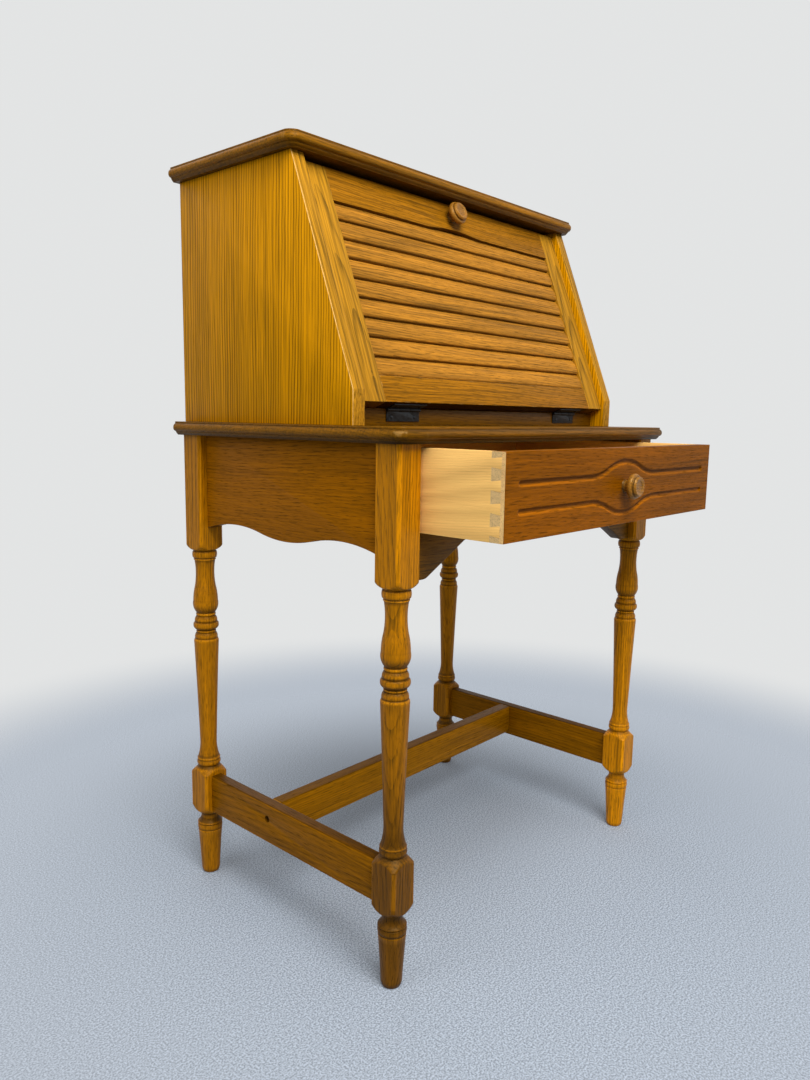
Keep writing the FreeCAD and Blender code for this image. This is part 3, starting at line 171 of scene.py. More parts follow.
# Camera: place, yaw, pitch and roll in degrees, and focal length in pixels of a picture of that height
CAMERA_PLACE = (-1.0396, -0.8110, 0.7434)
CAMERA_ANGLES = (47.909, 8.438, 0.8635)
FOCAL_PIXELS = 828.3
PICTURE_HEIGHT = 1080.0
SENSOR = 36.0

# Turned profile of a leg from its top: height, radius and fullness of the curve that leads there.
# Lengths are in millimetres. A negative fullness is a hollow, and a radius over 30 clears the square.
LEG_PROFILE = [
    (712, 31, 0), (558, 31, 0), (536, 20, 4.2), (534.8, 17, 0), (533.4, 17.2, 0), (532.8, 18.2, 0.1),
    (523.6, 18.2, 0.7), (522.8, 17.2, 0), (521.8, 16.2, 0), (521, 16.7, 0), (519.6, 16.7, 0.2),
    (518.8, 15.8, 0), (500, 14.2, -0.4), (478, 16, -0.5), (455, 18.9, 0.7), (437, 15.4, 2),
    (435.4, 14.2, 0), (434.4, 14.9, 0.1), (431.6, 14.9, 0.3), (430.4, 13.9, 0), (429.6, 15.1, 0.1),
    (421.8, 17.4, 0.7), (420.6, 16.8, 0), (419.8, 18, 0.1), (417.2, 19.4, 0.4), (408.6, 15.4, 1.7),
    (407.4, 14.4, 0), (406.8, 15, 0.1), (404.8, 15, 0.3), (403.8, 14.2, 0), (403.2, 15.4, 0.1),
    (396, 17.7, 0.6), (394.6, 17, 0), (393.4, 18, 0.2), (387.6, 19, 0.5), (222, 12.9, -0.3),
    (198, 16.9, -0.9), (197, 17.7, 0), (195.2, 17.7, 0.2), (194.4, 16.9, 0), (193.4, 17.5, 0.1),
    (185.6, 17.3, 1.1), (184.2, 15.6, 0), (169.5, 31, -0.5), (122, 31, 0), (103.6, 15, 2),
    (97, 13.7, -0.4), (87.6, 19.2, -1), (86.4, 19.2, 0.2), (85.4, 17.4, 0), (84.4, 18.9, 0.1),
    (77, 19, 0.6), (76, 17.9, 0), (75, 18.7, 0.1), (73, 18.7, 0.2), (9, 14.4, -0.2), (3, 13.2, 0.3),
    (0, 10, 0.9),
]

# Rings of a leg whose upper edge gets a painted highlight, from and to a height in millimetres
HIGHLIGHTED_RINGS = [(519.6, 521), (431.6, 434.4), (404.8, 406.8), (391, 393.4), (195.2, 197), (73, 75)]

# A leg's sides, the radius that its turning stays under, the one that its square stock is over,
# and how near the turning beside a groove lies and how deep the groove is when its painted shade is darkest
LEG_SIDES = 72
WIDEST = 0.021
SQUARE = 0.03
GROOVE_REACH = 0.004
GROOVE_DEPTH = 0.002

# Painted shade lower down on each leg, and painted light instead on the front right one:
# how much darker each leg is lower down, and the height and length over which that sets in
LEG_LOWER_SHADING = {"leg_front_left": 0.85, "leg_front_right": -0.5, "leg_back_left": 0.2, "leg_back_right": 0.2}
LEG_SHADING_TOP = 0.5
LEG_SHADING_RUN = 0.3

# Turned profile of a knob from the wood outwards: height, radius and fullness, in millimetres
KNOB_PROFILE = [
    (0, 9, 0), (5, 7.6, -0.3), (10.5, 15.6, -1.4), (12.4, 17.2, 0.4), (16.6, 16.8, 0.6), (17.6, 15.4, 0.2),
    (17.8, 14.6, 0), (18.4, 14.2, 0), (21.6, 13.4, 0.5), (23, 11.4, 0.4), (22.6, 10, 0.1), (21.4, 7, -0.2),
    (21, 0, -0.1),
]

# A knob's sides, and where shade is painted: at its root, in the groove round its face and where it is narrow
KNOB_SIDES = 64
KNOB_ROOT = 0.002
KNOB_FACE = 0.017
KNOB_GROOVE = (0.0142, 0.0148)
KNOB_NARROW = 0.0085

# Moulded edge of the two boards from the underside up: set back from the nose and height, in millimetres
EDGE_PROFILE = [
    (8, 0), (7.9, 0.5), (7, 1.2), (5.8, 2.6), (4.9, 3.8), (4.5, 4.6), (4.5, 5), (4.4, 5.3), (3.4, 5.6),
    (1.9, 6.4), (0.8, 7.6), (0.2, 9.2), (0, 11), (0.2, 12.8), (0.8, 14.4), (1.8, 15.8), (3, 16.8),
    (3.5, 17.1), (3.6, 17.5), (3.5, 18.1), (3.5, 19.3), (3.8, 19.8), (4.5, 20),
]

# Painted shade and painted highlight on that edge, from and to a height in millimetres: painted shade below
# the nose and in the quirk under the top, a painted highlight on the nose; and the height up to which the
# desk top's front gets painted shade
EDGE_SHADING = [(0, 3, 0.68), (3, 5.5, 0.25), (8, 15, -0.4), (17, 18, 0.68)]
FRONT_SHADE_TOP = 17

# The boards' outline: the straight beside a corner, the steps round it, and how far the front reaches back
CORNER_RUN = 0.04
CORNER_STEPS = 6
FRONT_REACH = 0.03


def tint(name, description, default):
    """A colour setting, as it looks on a screen."""
    return FloatVectorProperty(name=name, description=description, subtype="COLOR_GAMMA", default=default,
                               min=0, max=1)


def length(name, description, default, least=0.0):
    """A length setting."""
    return FloatProperty(name=name, description=description, default=default, min=least, unit="LENGTH")


class DeskSizes(bpy.types.PropertyGroup):
    """Sizes of the details that the looks add"""
    edge_ease: length("Edge ease", "Rounding of the boards' edges", 0.0009)
    leg_square: length("Leg square", "Side of a leg's square stock", 0.042, 0.01)
    leg_arris: length("Leg arris", "Flat planed along a leg's edges", 0.0035)
    corner_clip: length("Corner clip", "Corner cut off the moulded boards", 0.014)
    slat_pitch: length("Slat pitch", "From one slat to the next", 0.02752, 0.005)
    slat_count: IntProperty(name="Slats", description="Slats on the flap", default=len(SLATS), min=1)
    screw_sink: length("Screw sink", "Screws below the face of the side stretchers", 0.0058)
    screw_head: length("Screw head", "Radius of a hinge screw's head", 0.0024, 0.0005)
    screw_spread: length("Screw spread", "Between the two screws of a hinge leaf", 0.046, 0.005)


class DeskColours(bpy.types.PropertyGroup):
    """Colours of the woods and the iron, as they look on a screen"""
    panel: tint("Panel oak", "Side panels", (0.692, 0.464, 0.0))
    leg: tint("Leg oak", "Legs", (0.66, 0.415, 0.0))
    apron: tint("Apron oak", "Side and back aprons", (0.58, 0.345, 0.0))
    side_bar: tint("Side stretcher oak", "Stretchers at the sides", (0.53, 0.33, 0.0))
    bar: tint("Cross stretcher oak", "Stretcher across the middle", (0.63, 0.405, 0.0))
    moulding: tint("Moulding oak", "Desk top and cabinet top", (0.40, 0.25, 0.0))
    stile: tint("Stile oak", "Side members of the flap", (0.645, 0.45, 0.10))
    rail: tint("Rail oak", "Rails of the flap and hidden oak", (0.54, 0.345, 0.04))
    slat: tint("Slat oak", "Slats of the flap", (0.61, 0.405, 0.12))
    knob: tint("Knob oak", "Knobs", (0.55, 0.36, 0.10))
    drawer: tint("Drawer oak", "Drawer front", (0.49, 0.27, 0.0))
    pine: tint("Pine", "Drawer sides and hidden wood", (0.92, 0.72, 0.41))
    end: tint("End grain", "Pins and back of the drawer front", (0.83, 0.69, 0.47))
    lap: tint("Lap", "End of the drawer front before its pins", (0.90, 0.72, 0.47))
    iron: tint("Iron", "Hinges and screws", (0.115, 0.125, 0.135))
    floor: tint("Floor", "Studio floor", (0.61, 0.645, 0.69))
    distance: tint("Far floor", "Floor further away from the desk", (0.715, 0.745, 0.785))
    backdrop: tint("Backdrop", "What the camera sees behind the desk", (0.89, 0.895, 0.895))


# Colour and node helpers

def linear(colour, shade=1.0):
    """A screen colour, made lighter or darker, as the shader takes it."""
    values = []
    for value in colour:
        value = min(value * shade, 1.0)
        values.append(value / 12.92 if value <= 0.04045 else ((value + 0.055) / 1.055) ** 2.4)
    return (*values, 1.0)


class Tree:
    """Adds nodes to a node tree and links them."""

    def __init__(self, tree):
        self.tree = tree

    def feed(self, socket, value):
        """Link a socket to another one, or set it to a plain value."""
        if isinstance(value, bpy.types.NodeSocket):
            self.tree.links.new(value, socket)
        else:
            socket.default_value = value

    def node(self, kind, inputs=None, **settings):
        """Add a node, set its properties and feed its inputs."""
        made = self.tree.nodes.new(kind)
        for key, value in settings.items():
            setattr(made, key, value)
        for socket, value in (inputs or {}).items():
            self.feed(made.inputs[socket], value)
        return made

    def math(self, operation, first, second=0.0, clamp=False):
        """One arithmetic step."""
        made = self.node("ShaderNodeMath", {0: first, 1: second}, operation=operation, use_clamp=clamp)
        return made.outputs[0]

    def times(self, first, second, clamp=False):
        """A product."""
        return self.math("MULTIPLY", first, second, clamp)

    def looked_at(self):
        """One where the camera looks, straight or by way of a reflection or glass, and zero elsewhere."""
        rays = self.node("ShaderNodeLightPath").outputs
        straight = self.math("MAXIMUM", rays["Is Camera Ray"], rays["Is Glossy Ray"])
        return self.math("MAXIMUM", straight, rays["Is Transmission Ray"])

    def blend(self, factor, first, second):
        """Two surfaces mixed."""
        return self.node("ShaderNodeMixShader", {0: factor, 1: first, 2: second}).outputs[0]


class Shade(Tree):
    """Builds one node material."""

    def __init__(self, name):
        self.material = bpy.data.materials.new(name)
        self.material.use_nodes = True
        super().__init__(self.material.node_tree)
        self.shader = self.tree.nodes["Principled BSDF"]
        self.place = self.node("ShaderNodeTexCoord").outputs["Object"]

    def paint(self, inputs):
        """Feed the surface's own inputs."""
        for socket, value in inputs.items():
            self.feed(self.shader.inputs[socket], value)

    def vector(self, operation, *values):
        """One step with vectors."""
        return self.node("ShaderNodeVectorMath", dict(enumerate(values)), operation=operation).outputs[0]

    def mapped(self, vector, turn, shift):
        """A vector turned and shifted."""
        moves = {"Vector": vector, "Rotation": turn, "Location": shift}
        return self.node("ShaderNodeMapping", moves).outputs[0]

    def mirrored(self):
        """The place with its left half mirrored onto the right one, and the halves slid a little apart."""
        apart = self.node("ShaderNodeSeparateXYZ", {0: self.place}).outputs
        slide = self.times(self.math("SIGN", apart[0]), 0.013)
        parts = {0: self.math("ABSOLUTE", apart[0]), 1: apart[1], 2: self.math("ADD", apart[2], slide)}
        return self.node("ShaderNodeCombineXYZ", parts).outputs[0]

    def noise(self, vector, scale=1.0, detail=2.0, roughness=0.5):
        """Noise values and noise colours."""
        inputs = {"Vector": vector, "Scale": scale, "Detail": detail, "Roughness": roughness}
        return self.node("ShaderNodeTexNoise", inputs).outputs

    def grained(self, vector, scale, detail, roughness=0.5):
        """Noise values, drawn out by three factors."""
        return self.noise(self.vector("MULTIPLY", vector, scale), 1.0, detail, roughness)[0]

    def between(self, value, low, high):
        """Zero below low, one above high, smooth between them."""
        inputs = {"Value": value, "From Min": low, "From Max": high}
        return self.node("ShaderNodeMapRange", inputs, interpolation_type="SMOOTHSTEP").outputs[0]

    def mix(self, factor, first, second):
        """Two colours mixed."""
        inputs = {"Factor": factor, "A": first, "B": second}
        return self.node("ShaderNodeMix", inputs, data_type="RGBA").outputs["Result"]

    def attribute(self, name):
        """A value stored on the mesh, zero where the mesh has none."""
        return self.node("ShaderNodeAttribute", attribute_name=name).outputs["Fac"]

    def relief(self, height, distance):
        """Roughen the surface by a height."""
        bump = self.node("ShaderNodeBump", {"Strength": 0.3, "Distance": distance, "Height": height})
        self.paint({"Normal": bump.outputs[0]})


def wood(name, colour, turn, shift=(0, 0, 0), rings=90.0, figure=0.3, lines=0.9, pores=0.9, tilt=0.04,
         heart=(0.05, 0.05), gloss=0.42, mottle=0.5, shine=0.07, dash=(1000, 1000, 55), late_from=0.45,
         twin=False):
    """Oak or pine whose grain runs along the turned Z axis.

    rings sets how close the growth rings lie, figure how strongly they show, late_from where the dark
    part of a ring starts, tilt how far they lean out of the board and heart where their middle lies.
    lines sets the fine streaks, pores the dark dashes, dash how narrow and short those are, and mottle
    the slow changes of tone. gloss is the roughness and shine the strength of the reflections.
    A twin's right half mirrors its left.
    """
    shade = Shade(name)
    grain = shade.mapped(shade.mirrored() if twin else shade.place, turn, shift)
    bend = shade.noise(shade.vector("MULTIPLY", grain, (11, 11, 2.4)), detail=2.5)[1]
    centred = shade.vector("SUBTRACT", bend, (0.5, 0.5, 0.5))
    along = shade.vector("MULTIPLY_ADD", centred, (0.017, 0.017, 0.0), grain)

    leaning = shade.mapped(along, (tilt, -tilt, 0), (-heart[0], -heart[1], 0))
    waves = {"Vector": leaning, "Scale": rings, "Distortion": 1.4, "Detail": 2.0, "Detail Scale": 0.5}
    wave = shade.node("ShaderNodeTexWave", waves, wave_type="RINGS", rings_direction="Z", wave_profile="SAW")
    late = shade.between(wave.outputs["Fac"], late_from, 1.0)

    fibre = shade.grained(along, (300, 300, 5), 4.0, 0.6)
    tone = shade.grained(along, (14, 14, 2.2), 3.0)
    fleck = shade.grained(along, dash, 2.0)
    strength = shade.grained(along, (40, 40, 4), 1.0)
    in_late = shade.math("ADD", shade.times(late, 0.6), 0.4)
    pore = shade.times(shade.between(fleck, 0.49, 0.64), in_late)

    value = shade.times(shade.math("SUBTRACT", tone, 0.5), mottle)
    streaks = shade.times(shade.math("SUBTRACT", fibre, 0.5), lines)
    varied = shade.times(late, shade.between(strength, 0.25, 0.65))
    bands = shade.times(varied, figure)
    value = shade.math("SUBTRACT", shade.math("ADD", value, streaks), bands)
    value = shade.math("ADD", value, 0.5 + 0.25 * figure, clamp=True)
    ramp = shade.node("ShaderNodeValToRGB", {0: value})
    steps = ramp.color_ramp.elements
    steps[0].color = linear(colour, 0.60)
    steps[1].color = linear(colour, 1.22)
    steps.new(0.5).color = linear(colour)
    body = shade.mix(shade.times(pore, pores, clamp=True), ramp.outputs[0], linear(colour, 0.58))

    # Painted shade darkens the colour, and painted highlight, below zero, lightens it
    painted_shading = shade.times(shade.attribute("painted_shading"), 0.77)
    body = shade.vector("MULTIPLY", body, shade.math("SUBTRACT", 1.0, painted_shading))
    patch = shade.between(shade.noise(shade.place, 90.0, 3.0)[0], 0.30, 0.70)
    bare = shade.times(shade.math("SUBTRACT", 1.0, patch), 0.42)
    worn = shade.math("SUBTRACT", shade.times(shade.attribute("worn"), 1.2), bare, clamp=True)
    body = shade.mix(worn, body, linear(BARE_WOOD))
    rough = shade.math("ADD", shade.times(pore, 0.2), gloss)
    shade.paint({"Base Color": body, "Roughness": rough})
    shade.paint({"Specular IOR Level": shine, "Specular Tint": POLISH})
    shade.relief(shade.math("SUBTRACT", shade.times(fibre, 0.5), pore), 0.0004)
    return shade.material


def iron(name, colour):
    """Blackened iron with a soft sheen and rubbed edges."""
    shade = Shade(name)
    cloud = shade.noise(shade.place, 240.0, 4.0)[0]
    body = shade.mix(shade.between(cloud, 0.35, 0.7), linear(colour, 0.7), linear(colour, 1.5))
    rubbed = shade.times(shade.attribute("worn"), 0.35, clamp=True)
    body = shade.mix(rubbed, body, linear(BARE_IRON))
    rough = shade.math("ADD", shade.times(cloud, 0.3), 0.32)
    shade.paint({"Base Color": body, "Metallic": 0.5, "Roughness": rough})
    shade.relief(cloud, 0.0002)
    return shade.material


# Which way the grain runs: the turn that brings it onto Z
ALONG_Z = (0, 0, 0)
ALONG_X = (0, math.radians(-90), 0)
ALONG_Y = (math.radians(90), 0, 0)
ALONG_FLAP = (SLANT, 0, 0)

# Settings that two woods share
APRON = dict(rings=80, figure=0.15, lines=1.2)
BAR = dict(rings=80, figure=0.2, lines=1.5)
PINE = dict(rings=110, figure=0.1, lines=0.24, pores=0.06, mottle=0.25, gloss=0.55)

# Each wood's colour, the way of its grain and its settings
WOODS = {
    "oak panel": ("panel", ALONG_Z, dict(
        shift=(0, 0, -0.9), rings=60, figure=1.1, lines=1.5, heart=(0.25, 0.40), tilt=-0.02, mottle=0.45,
        pores=0.8, dash=(760, 760, 8), late_from=0.62, twin=True)),
    "oak stile": ("stile", ALONG_FLAP, dict(
        shift=(0, 0, -0.855), rings=70, figure=0.4, lines=1.9, heart=(0.277, -0.30), tilt=0.05,
        dash=(700, 700, 14), twin=True)),
    "oak leg": ("leg", ALONG_Z, dict(rings=80, lines=1.6, shine=0.2)),
    "oak apron side": ("apron", ALONG_Y, APRON),
    "oak apron front": ("apron", ALONG_X, APRON),
    "oak bar side": ("side_bar", ALONG_Y, BAR),
    "oak bar front": ("bar", ALONG_X, BAR),
    "oak moulding": ("moulding", ALONG_X, dict(rings=80, figure=0.2, lines=1.9, shine=0.16)),
    "oak rail": ("rail", ALONG_X, dict(figure=0.25, lines=2.0)),
    "oak slat": ("slat", ALONG_X, dict(lines=2.2, mottle=0.9)),
    "oak drawer": ("drawer", ALONG_X, dict(figure=0.12, lines=1.2, mottle=0.8, shine=0.04)),
    "oak knob": ("knob", ALONG_X, dict(gloss=0.26, shine=0.32)),
    "pine side": ("pine", ALONG_Y, PINE),
    "pine board": ("pine", ALONG_X, PINE),
    "pine end": ("end", ALONG_X, dict(rings=160, figure=0.05, lines=0.3, mottle=0.2, gloss=0.6)),
    "oak end": ("lap", ALONG_X, dict(rings=160, figure=0.2, lines=0.5, gloss=0.6)),
}


def finish(name):
    """The material of that name, made the first time it is asked for."""
    ready = bpy.data.materials.get(name)
    if ready:
        return ready
    tints = bpy.context.scene.desk_colours
    if name == "iron":
        return iron(name, tints.iron)
    colour, way, settings = WOODS[name]
    return wood(name, getattr(tints, colour), way, **settings)


# Mesh helpers

def placed(name, data):
    """A new object in the scene."""
    made = bpy.data.objects.new(name, data)
    bpy.context.scene.collection.objects.link(made)
    return made


def show(name, mesh, material, body, slot, *nodes):
    """Put a finished mesh into the scene in place of the nodes that it stands for."""
    piece = placed(name, mesh)
    mesh.materials.clear()
    materials = material if isinstance(material, (list, tuple)) else (material,)
    for one in materials:
        mesh.materials.append(finish(one))
    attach(piece, body)
    if nodes:
        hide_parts(*nodes)
    return piece


def smooth(mesh, angle):
    """Smooth shading except across sharp edges."""
    for polygon in mesh.polygons:
        polygon.use_smooth = True
    mesh.set_sharp_from_angle(angle=math.radians(angle))


def written(shape, name, angle=34.0):
    """The shape's mesh, shaded smooth."""
    mesh = bpy.data.meshes.new(name)
    shape.to_mesh(mesh)
    shape.free()
    smooth(mesh, angle)
    return mesh


def merged_copy(node):
    """A node's mesh as one closed shape without its triangles' seams."""
    shape = bmesh.new()
    shape.from_mesh(frame["nodes"][node].data)
    bmesh.ops.remove_doubles(shape, verts=shape.verts, dist=1e-6)
    bmesh.ops.dissolve_limit(shape, angle_limit=math.radians(1.0), verts=shape.verts, edges=shape.edges)
    return shape


def round_over(shape, edges, ease):
    """Round some edges and give the new faces."""
    return bmesh.ops.bevel(shape, geom=edges, offset=ease, offset_type="OFFSET", segments=2, profile=0.5,
                           affect="EDGES", clamp_overlap=True)["faces"]


def sharp_edges(shape):
    """Edges between faces that meet at a clear angle."""
    return [edge for edge in shape.edges if len(edge.link_faces) == 2 and edge.calc_face_angle() > SHARP]


def eased(node, ease, underside_shade):
    """A copy of a node's mesh with rounded edges marked for wear and painted shade on its undersides."""
    shape = merged_copy(node)
    worn = shape.faces.layers.float.new("worn")
    painted_shading = shape.faces.layers.float.new("painted_shading")
    for face in round_over(shape, sharp_edges(shape), ease):
        face[worn] = EDGE_WEAR
    shape.normal_update()
    for face in shape.faces:
        # painted shade on the faces that look down
        face[painted_shading] = underside_shade if face.normal.z < DOWN else 0.0
    return written(shape, f"{node}_eased")


def show_eased(node, material, body, slot, ease=None):
    """An eased copy of one node, in its place."""
    ease = bpy.context.scene.desk_sizes.edge_ease if ease is None else ease
    # Oak pieces get painted shade on their undersides
    underside_shade = UNDERSIDE_SHADE if slot.startswith("oak") else 0.0
    return show(f"{node}_dressed", eased(node, ease, underside_shade), material, body, slot, node)


def mark(piece, layer, value, test):
    """Set a value on the faces of a piece that pass a test."""
    values = piece.data.attributes[layer].data
    for face in piece.data.polygons:
        if test(face):
            values[face.index].value = value


def curve_points(profile, steps=10):
    """Heights and radii along a turned profile, each stretch bent by its fullness."""
    points = [(profile[0][0] * MM, profile[0][1] * MM)]
    for before, (low, narrow, full) in zip(profile, profile[1:]):
        start = Vector((before[1], before[0]))
        run = Vector((narrow, low)) - start
        out = Vector((-run.y, run.x)).normalized() * (-1 if run.y > 0 else 1)
        count = steps if full else 1
        for step in range(1, count + 1):
            part = step / count
            spot = start + run * part + out * (full * 4 * part * (1 - part))
            points.append((spot.y * MM, spot.x * MM))
    return points


def bridge(shape, rings):
    """Faces between rings of the same number of vertices."""
    for lower, upper in zip(rings, rings[1:]):
        for index in range(len(lower)):
            after = (index + 1) % len(lower)
            shape.faces.new((lower[index], lower[after], upper[after], upper[index]))


def outward(shape, name, angle=34.0):
    """The shape's mesh with its faces turned outwards."""
    bmesh.ops.recalc_face_normals(shape, faces=shape.faces)
    return written(shape, name, angle)


def skinned(shape, rings, name, angle):
    """A closed mesh over rings of vertices, with a face on each end."""
    bridge(shape, rings)
    shape.faces.new(rings[0])
    shape.faces.new(rings[-1])
    return outward(shape, name, angle)


def on_flap(y, z):
    """The row's Y and Z of a point given in the closed flap's own plane."""
    along = HINGE_AXIS.y + y * math.cos(SLANT) + z * math.sin(SLANT)
    up = HINGE_AXIS.z - y * math.sin(SLANT) + z * math.cos(SLANT)
    return along, up


# Node tools

class Copies(Tree):
    """Builds a Geometry Nodes tree that sets copies of a shape on points and paints them."""

    def __init__(self, name, inputs):
        super().__init__(bpy.data.node_groups.new(name, "GeometryNodeTree"))
        sockets = self.tree.interface
        for label, kind in (("Geometry", "Geometry"), *inputs, ("Material", "Material")):
            sockets.new_socket(label, in_out="INPUT", socket_type=f"NodeSocket{kind}")
        sockets.new_socket("Geometry", in_out="OUTPUT", socket_type="NodeSocketGeometry")
        self.given = self.node("NodeGroupInput").outputs

    def result(self, inputs):
        """Set the copies, make them real and paint them; gives the tree."""
        copies = self.node("GeometryNodeInstanceOnPoints", inputs)
        real = self.node("GeometryNodeRealizeInstances", {0: copies.outputs[0]})
        coat = {"Geometry": real.outputs[0], "Material": self.given["Material"]}
        self.node("NodeGroupOutput", {0: self.node("GeometryNodeSetMaterial", coat).outputs[0]})
        return self.tree


def row_tree():
    """A tree that repeats a shape along a line."""
    row = Copies("Row along a line", [("Count", "Int"), ("Step", "Vector")])
    given = row.given
    line = row.node("GeometryNodeMeshLine", {"Count": given["Count"], "Offset": given["Step"]}, mode="OFFSET")
    return row.result({"Points": line.outputs[0], "Instance": given["Geometry"]})


def screw_tree():
    """A tree that sets a slotted, slightly domed screw head on each point."""
    screws = Copies("Screws on points", [("Radius", "Float"), ("Facing", "Vector")])
    given = screws.given
    radius = given["Radius"]
    ball = screws.node("GeometryNodeMeshUVSphere", {"Segments": 24, "Rings": 12, "Radius": radius})
    flat = {"Geometry": ball.outputs[0], "Scale": (1.0, 1.0, 0.32)}
    head = screws.node("GeometryNodeTransform", flat)
    wide = screws.times(radius, 0.22)
    size = {"X": screws.times(radius, 2.4), "Y": wide, "Z": wide}
    extent = screws.node("ShaderNodeCombineXYZ", size)
    lift = screws.node("ShaderNodeCombineXYZ", {"Z": screws.times(radius, 0.34)})
    block = screws.node("GeometryNodeMeshCube", {"Size": (1.0, 1.0, 1.0)})
    groove = {"Geometry": block.outputs[0], "Translation": lift.outputs[0], "Scale": extent.outputs[0]}
    slot = screws.node("GeometryNodeTransform", groove)
    cut = screws.node("GeometryNodeMeshBoolean", {"Mesh 1": head.outputs[0], "Mesh 2": slot.outputs[0]},
                      operation="DIFFERENCE")
    aim = screws.node("FunctionNodeAlignRotationToVector", {"Vector": given["Facing"]}, axis="Z")
    points = given["Geometry"]
    return screws.result({"Points": points, "Instance": cut.outputs[0], "Rotation": aim.outputs[0]})


def grown(mesh, tree, values):
    """What a tree makes of a mesh, as a plain mesh."""
    holder = placed("growing", mesh)
    modifier = holder.modifiers.new("tree", "NODES")
    modifier.node_group = tree
    for socket in tree.interface.items_tree:
        if socket.in_out == "INPUT" and socket.name in values:
            modifier[socket.identifier] = values[socket.name]
    bpy.context.view_layer.update()
    seen = holder.evaluated_get(bpy.context.evaluated_depsgraph_get())
    result = bpy.data.meshes.new_from_object(seen)
    bpy.data.objects.remove(holder)
    return result


def show_screws(name, spots, facing, radius, body):
    """Screw heads of one size on the given spots."""
    points = bpy.data.meshes.new(name)
    points.from_pydata([tuple(spot) for spot in spots], [], [])
    values = {"Radius": radius, "Facing": tuple(facing), "Material": finish("iron")}
    mesh = grown(points, screw_tree(), values)
    smooth(mesh, 40)
    return show(name, mesh, "iron", body, "black_iron")


# Operators

class DESK_OT_legs(bpy.types.Operator):
    """Four turned legs with square blocks"""
    bl_idname = "desk.legs"
    bl_label = "Turn the legs"

    def execute(self, context):
        sizes = context.scene.desk_sizes
        half = sizes.leg_square / 2
        facet = sizes.leg_square - sizes.leg_arris
        corner = math.atan2(half - sizes.leg_arris, half)
        angles = [math.tau * step / LEG_SIDES for step in range(LEG_SIDES)]
        for quarter in range(4):
            start = quarter * math.pi / 2
            angles += [start + corner, start + math.pi / 2 - corner]
        angles.sort()
        profile = curve_points(LEG_PROFILE)
        for node, darker in LEG_LOWER_SHADING.items():
            low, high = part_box(node)
            middle = (low + high) / 2
            shape = bmesh.new()
            painted_shading = shape.verts.layers.float.new("painted_shading")
            rings = []
            for height, radius in profile:
                # painted shade towards the floor, painted light on the front right leg
                lower = darker * max(0.0, min((LEG_SHADING_TOP - height) / LEG_SHADING_RUN, 1.0))
                # painted shade in the grooves, on top of the painted shade lower down
                darkened = min(lower + self.painted_shade(profile, height, radius), 1.0)
                rubbed = any(bottom <= height / MM <= top for bottom, top in HIGHLIGHTED_RINGS)
                ring = []
                for angle in angles:
                    cosine = abs(math.cos(angle))
                    sine = abs(math.sin(angle))
                    flat = half / max(cosine, sine)
                    arris = facet / (cosine + sine)
                    reach = min(flat, arris, radius)
                    spot = (middle.x + reach * math.cos(angle), middle.y + reach * math.sin(angle), height)
                    vert = shape.verts.new(spot)
                    # painted highlight on those rings and, with some wear, on the arrises
                    on_arris = arris <= flat + 1e-6 and radius > SQUARE
                    vert[painted_shading] = lower + LEG_HIGHLIGHT if rubbed or on_arris else darkened
                    ring.append(vert)
                rings.append(ring)
            mesh = skinned(shape, rings, f"{node}_turned", 38)
            show(f"{node}_turned", mesh, "oak leg", "desk", "oak_legs", node)
        return {"FINISHED"}

    def painted_shade(self, profile, height, radius):
        """Painted shade in a groove, from how far it lies behind the turning close by."""
        if radius >= WIDEST:
            return 0.0
        nearby = [wide for level, wide in profile if abs(level - height) < GROOVE_REACH and wide < WIDEST]
        return min((max(nearby) - radius) / GROOVE_DEPTH, 1.0) * LEG_GROOVE_SHADE


class DESK_OT_stand(bpy.types.Operator):
    """Aprons, stretchers, drawer runners and cleats"""
    bl_idname = "desk.stand"
    bl_label = "Dress the stand"

    def execute(self, context):
        low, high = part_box("stretcher_centre")
        hole = Vector((0, (low.y + high.y) / 2, low.z + SUNK_HOLE))
        sunk = context.scene.desk_sizes.screw_sink
        for side, sign in SIDES.items():
            show_eased(f"side_apron_{side}", "oak apron side", "desk", "oak_aprons")
            show_eased(f"drawer_runner_{side}", "pine side", "desk", "pine")
            show_eased(f"top_cleat_{side}", "pine side", "desk", "pine")
            bar = show_eased(f"stretcher_{side}", "oak bar side", "desk", "oak_stretchers", STRETCHER_EASE)
            self.darken(bar, hole)
            low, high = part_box(f"stretcher_{side}")
            face = high.x if sign > 0 else low.x
            spot = (face - sign * sunk, hole.y, hole.z)
            show_screws(f"stretcher_screw_{side}", [spot], (sign, 0, 0), HOLE_SCREW, "desk")
        bar = show_eased("stretcher_centre", "oak bar front", "desk", "oak_stretchers", STRETCHER_EASE)
        self.darken(bar, hole)
        # The front apron takes the darker moulding oak as painted shade under the drawer
        show_eased("front_apron", "oak moulding", "desk", "oak_aprons")
        show_eased("back_apron", "oak apron front", "desk", "oak_aprons")
        return {"FINISHED"}

    def darken(self, piece, hole):
        """Darken the upper faces, paint shade on the rim round a sunk hole so that the hole looks larger, and
        keep wear off both.
        """
        def darkened(face):
            in_hole = face.area < SMALL_FACE and (face.center - hole).yz.length < HOLE_RIM
            return face.normal.z > UP or in_hole

        mark(piece, "painted_shading", HEAVY_DARKENING, darkened)
        mark(piece, "worn", 0.0, darkened)


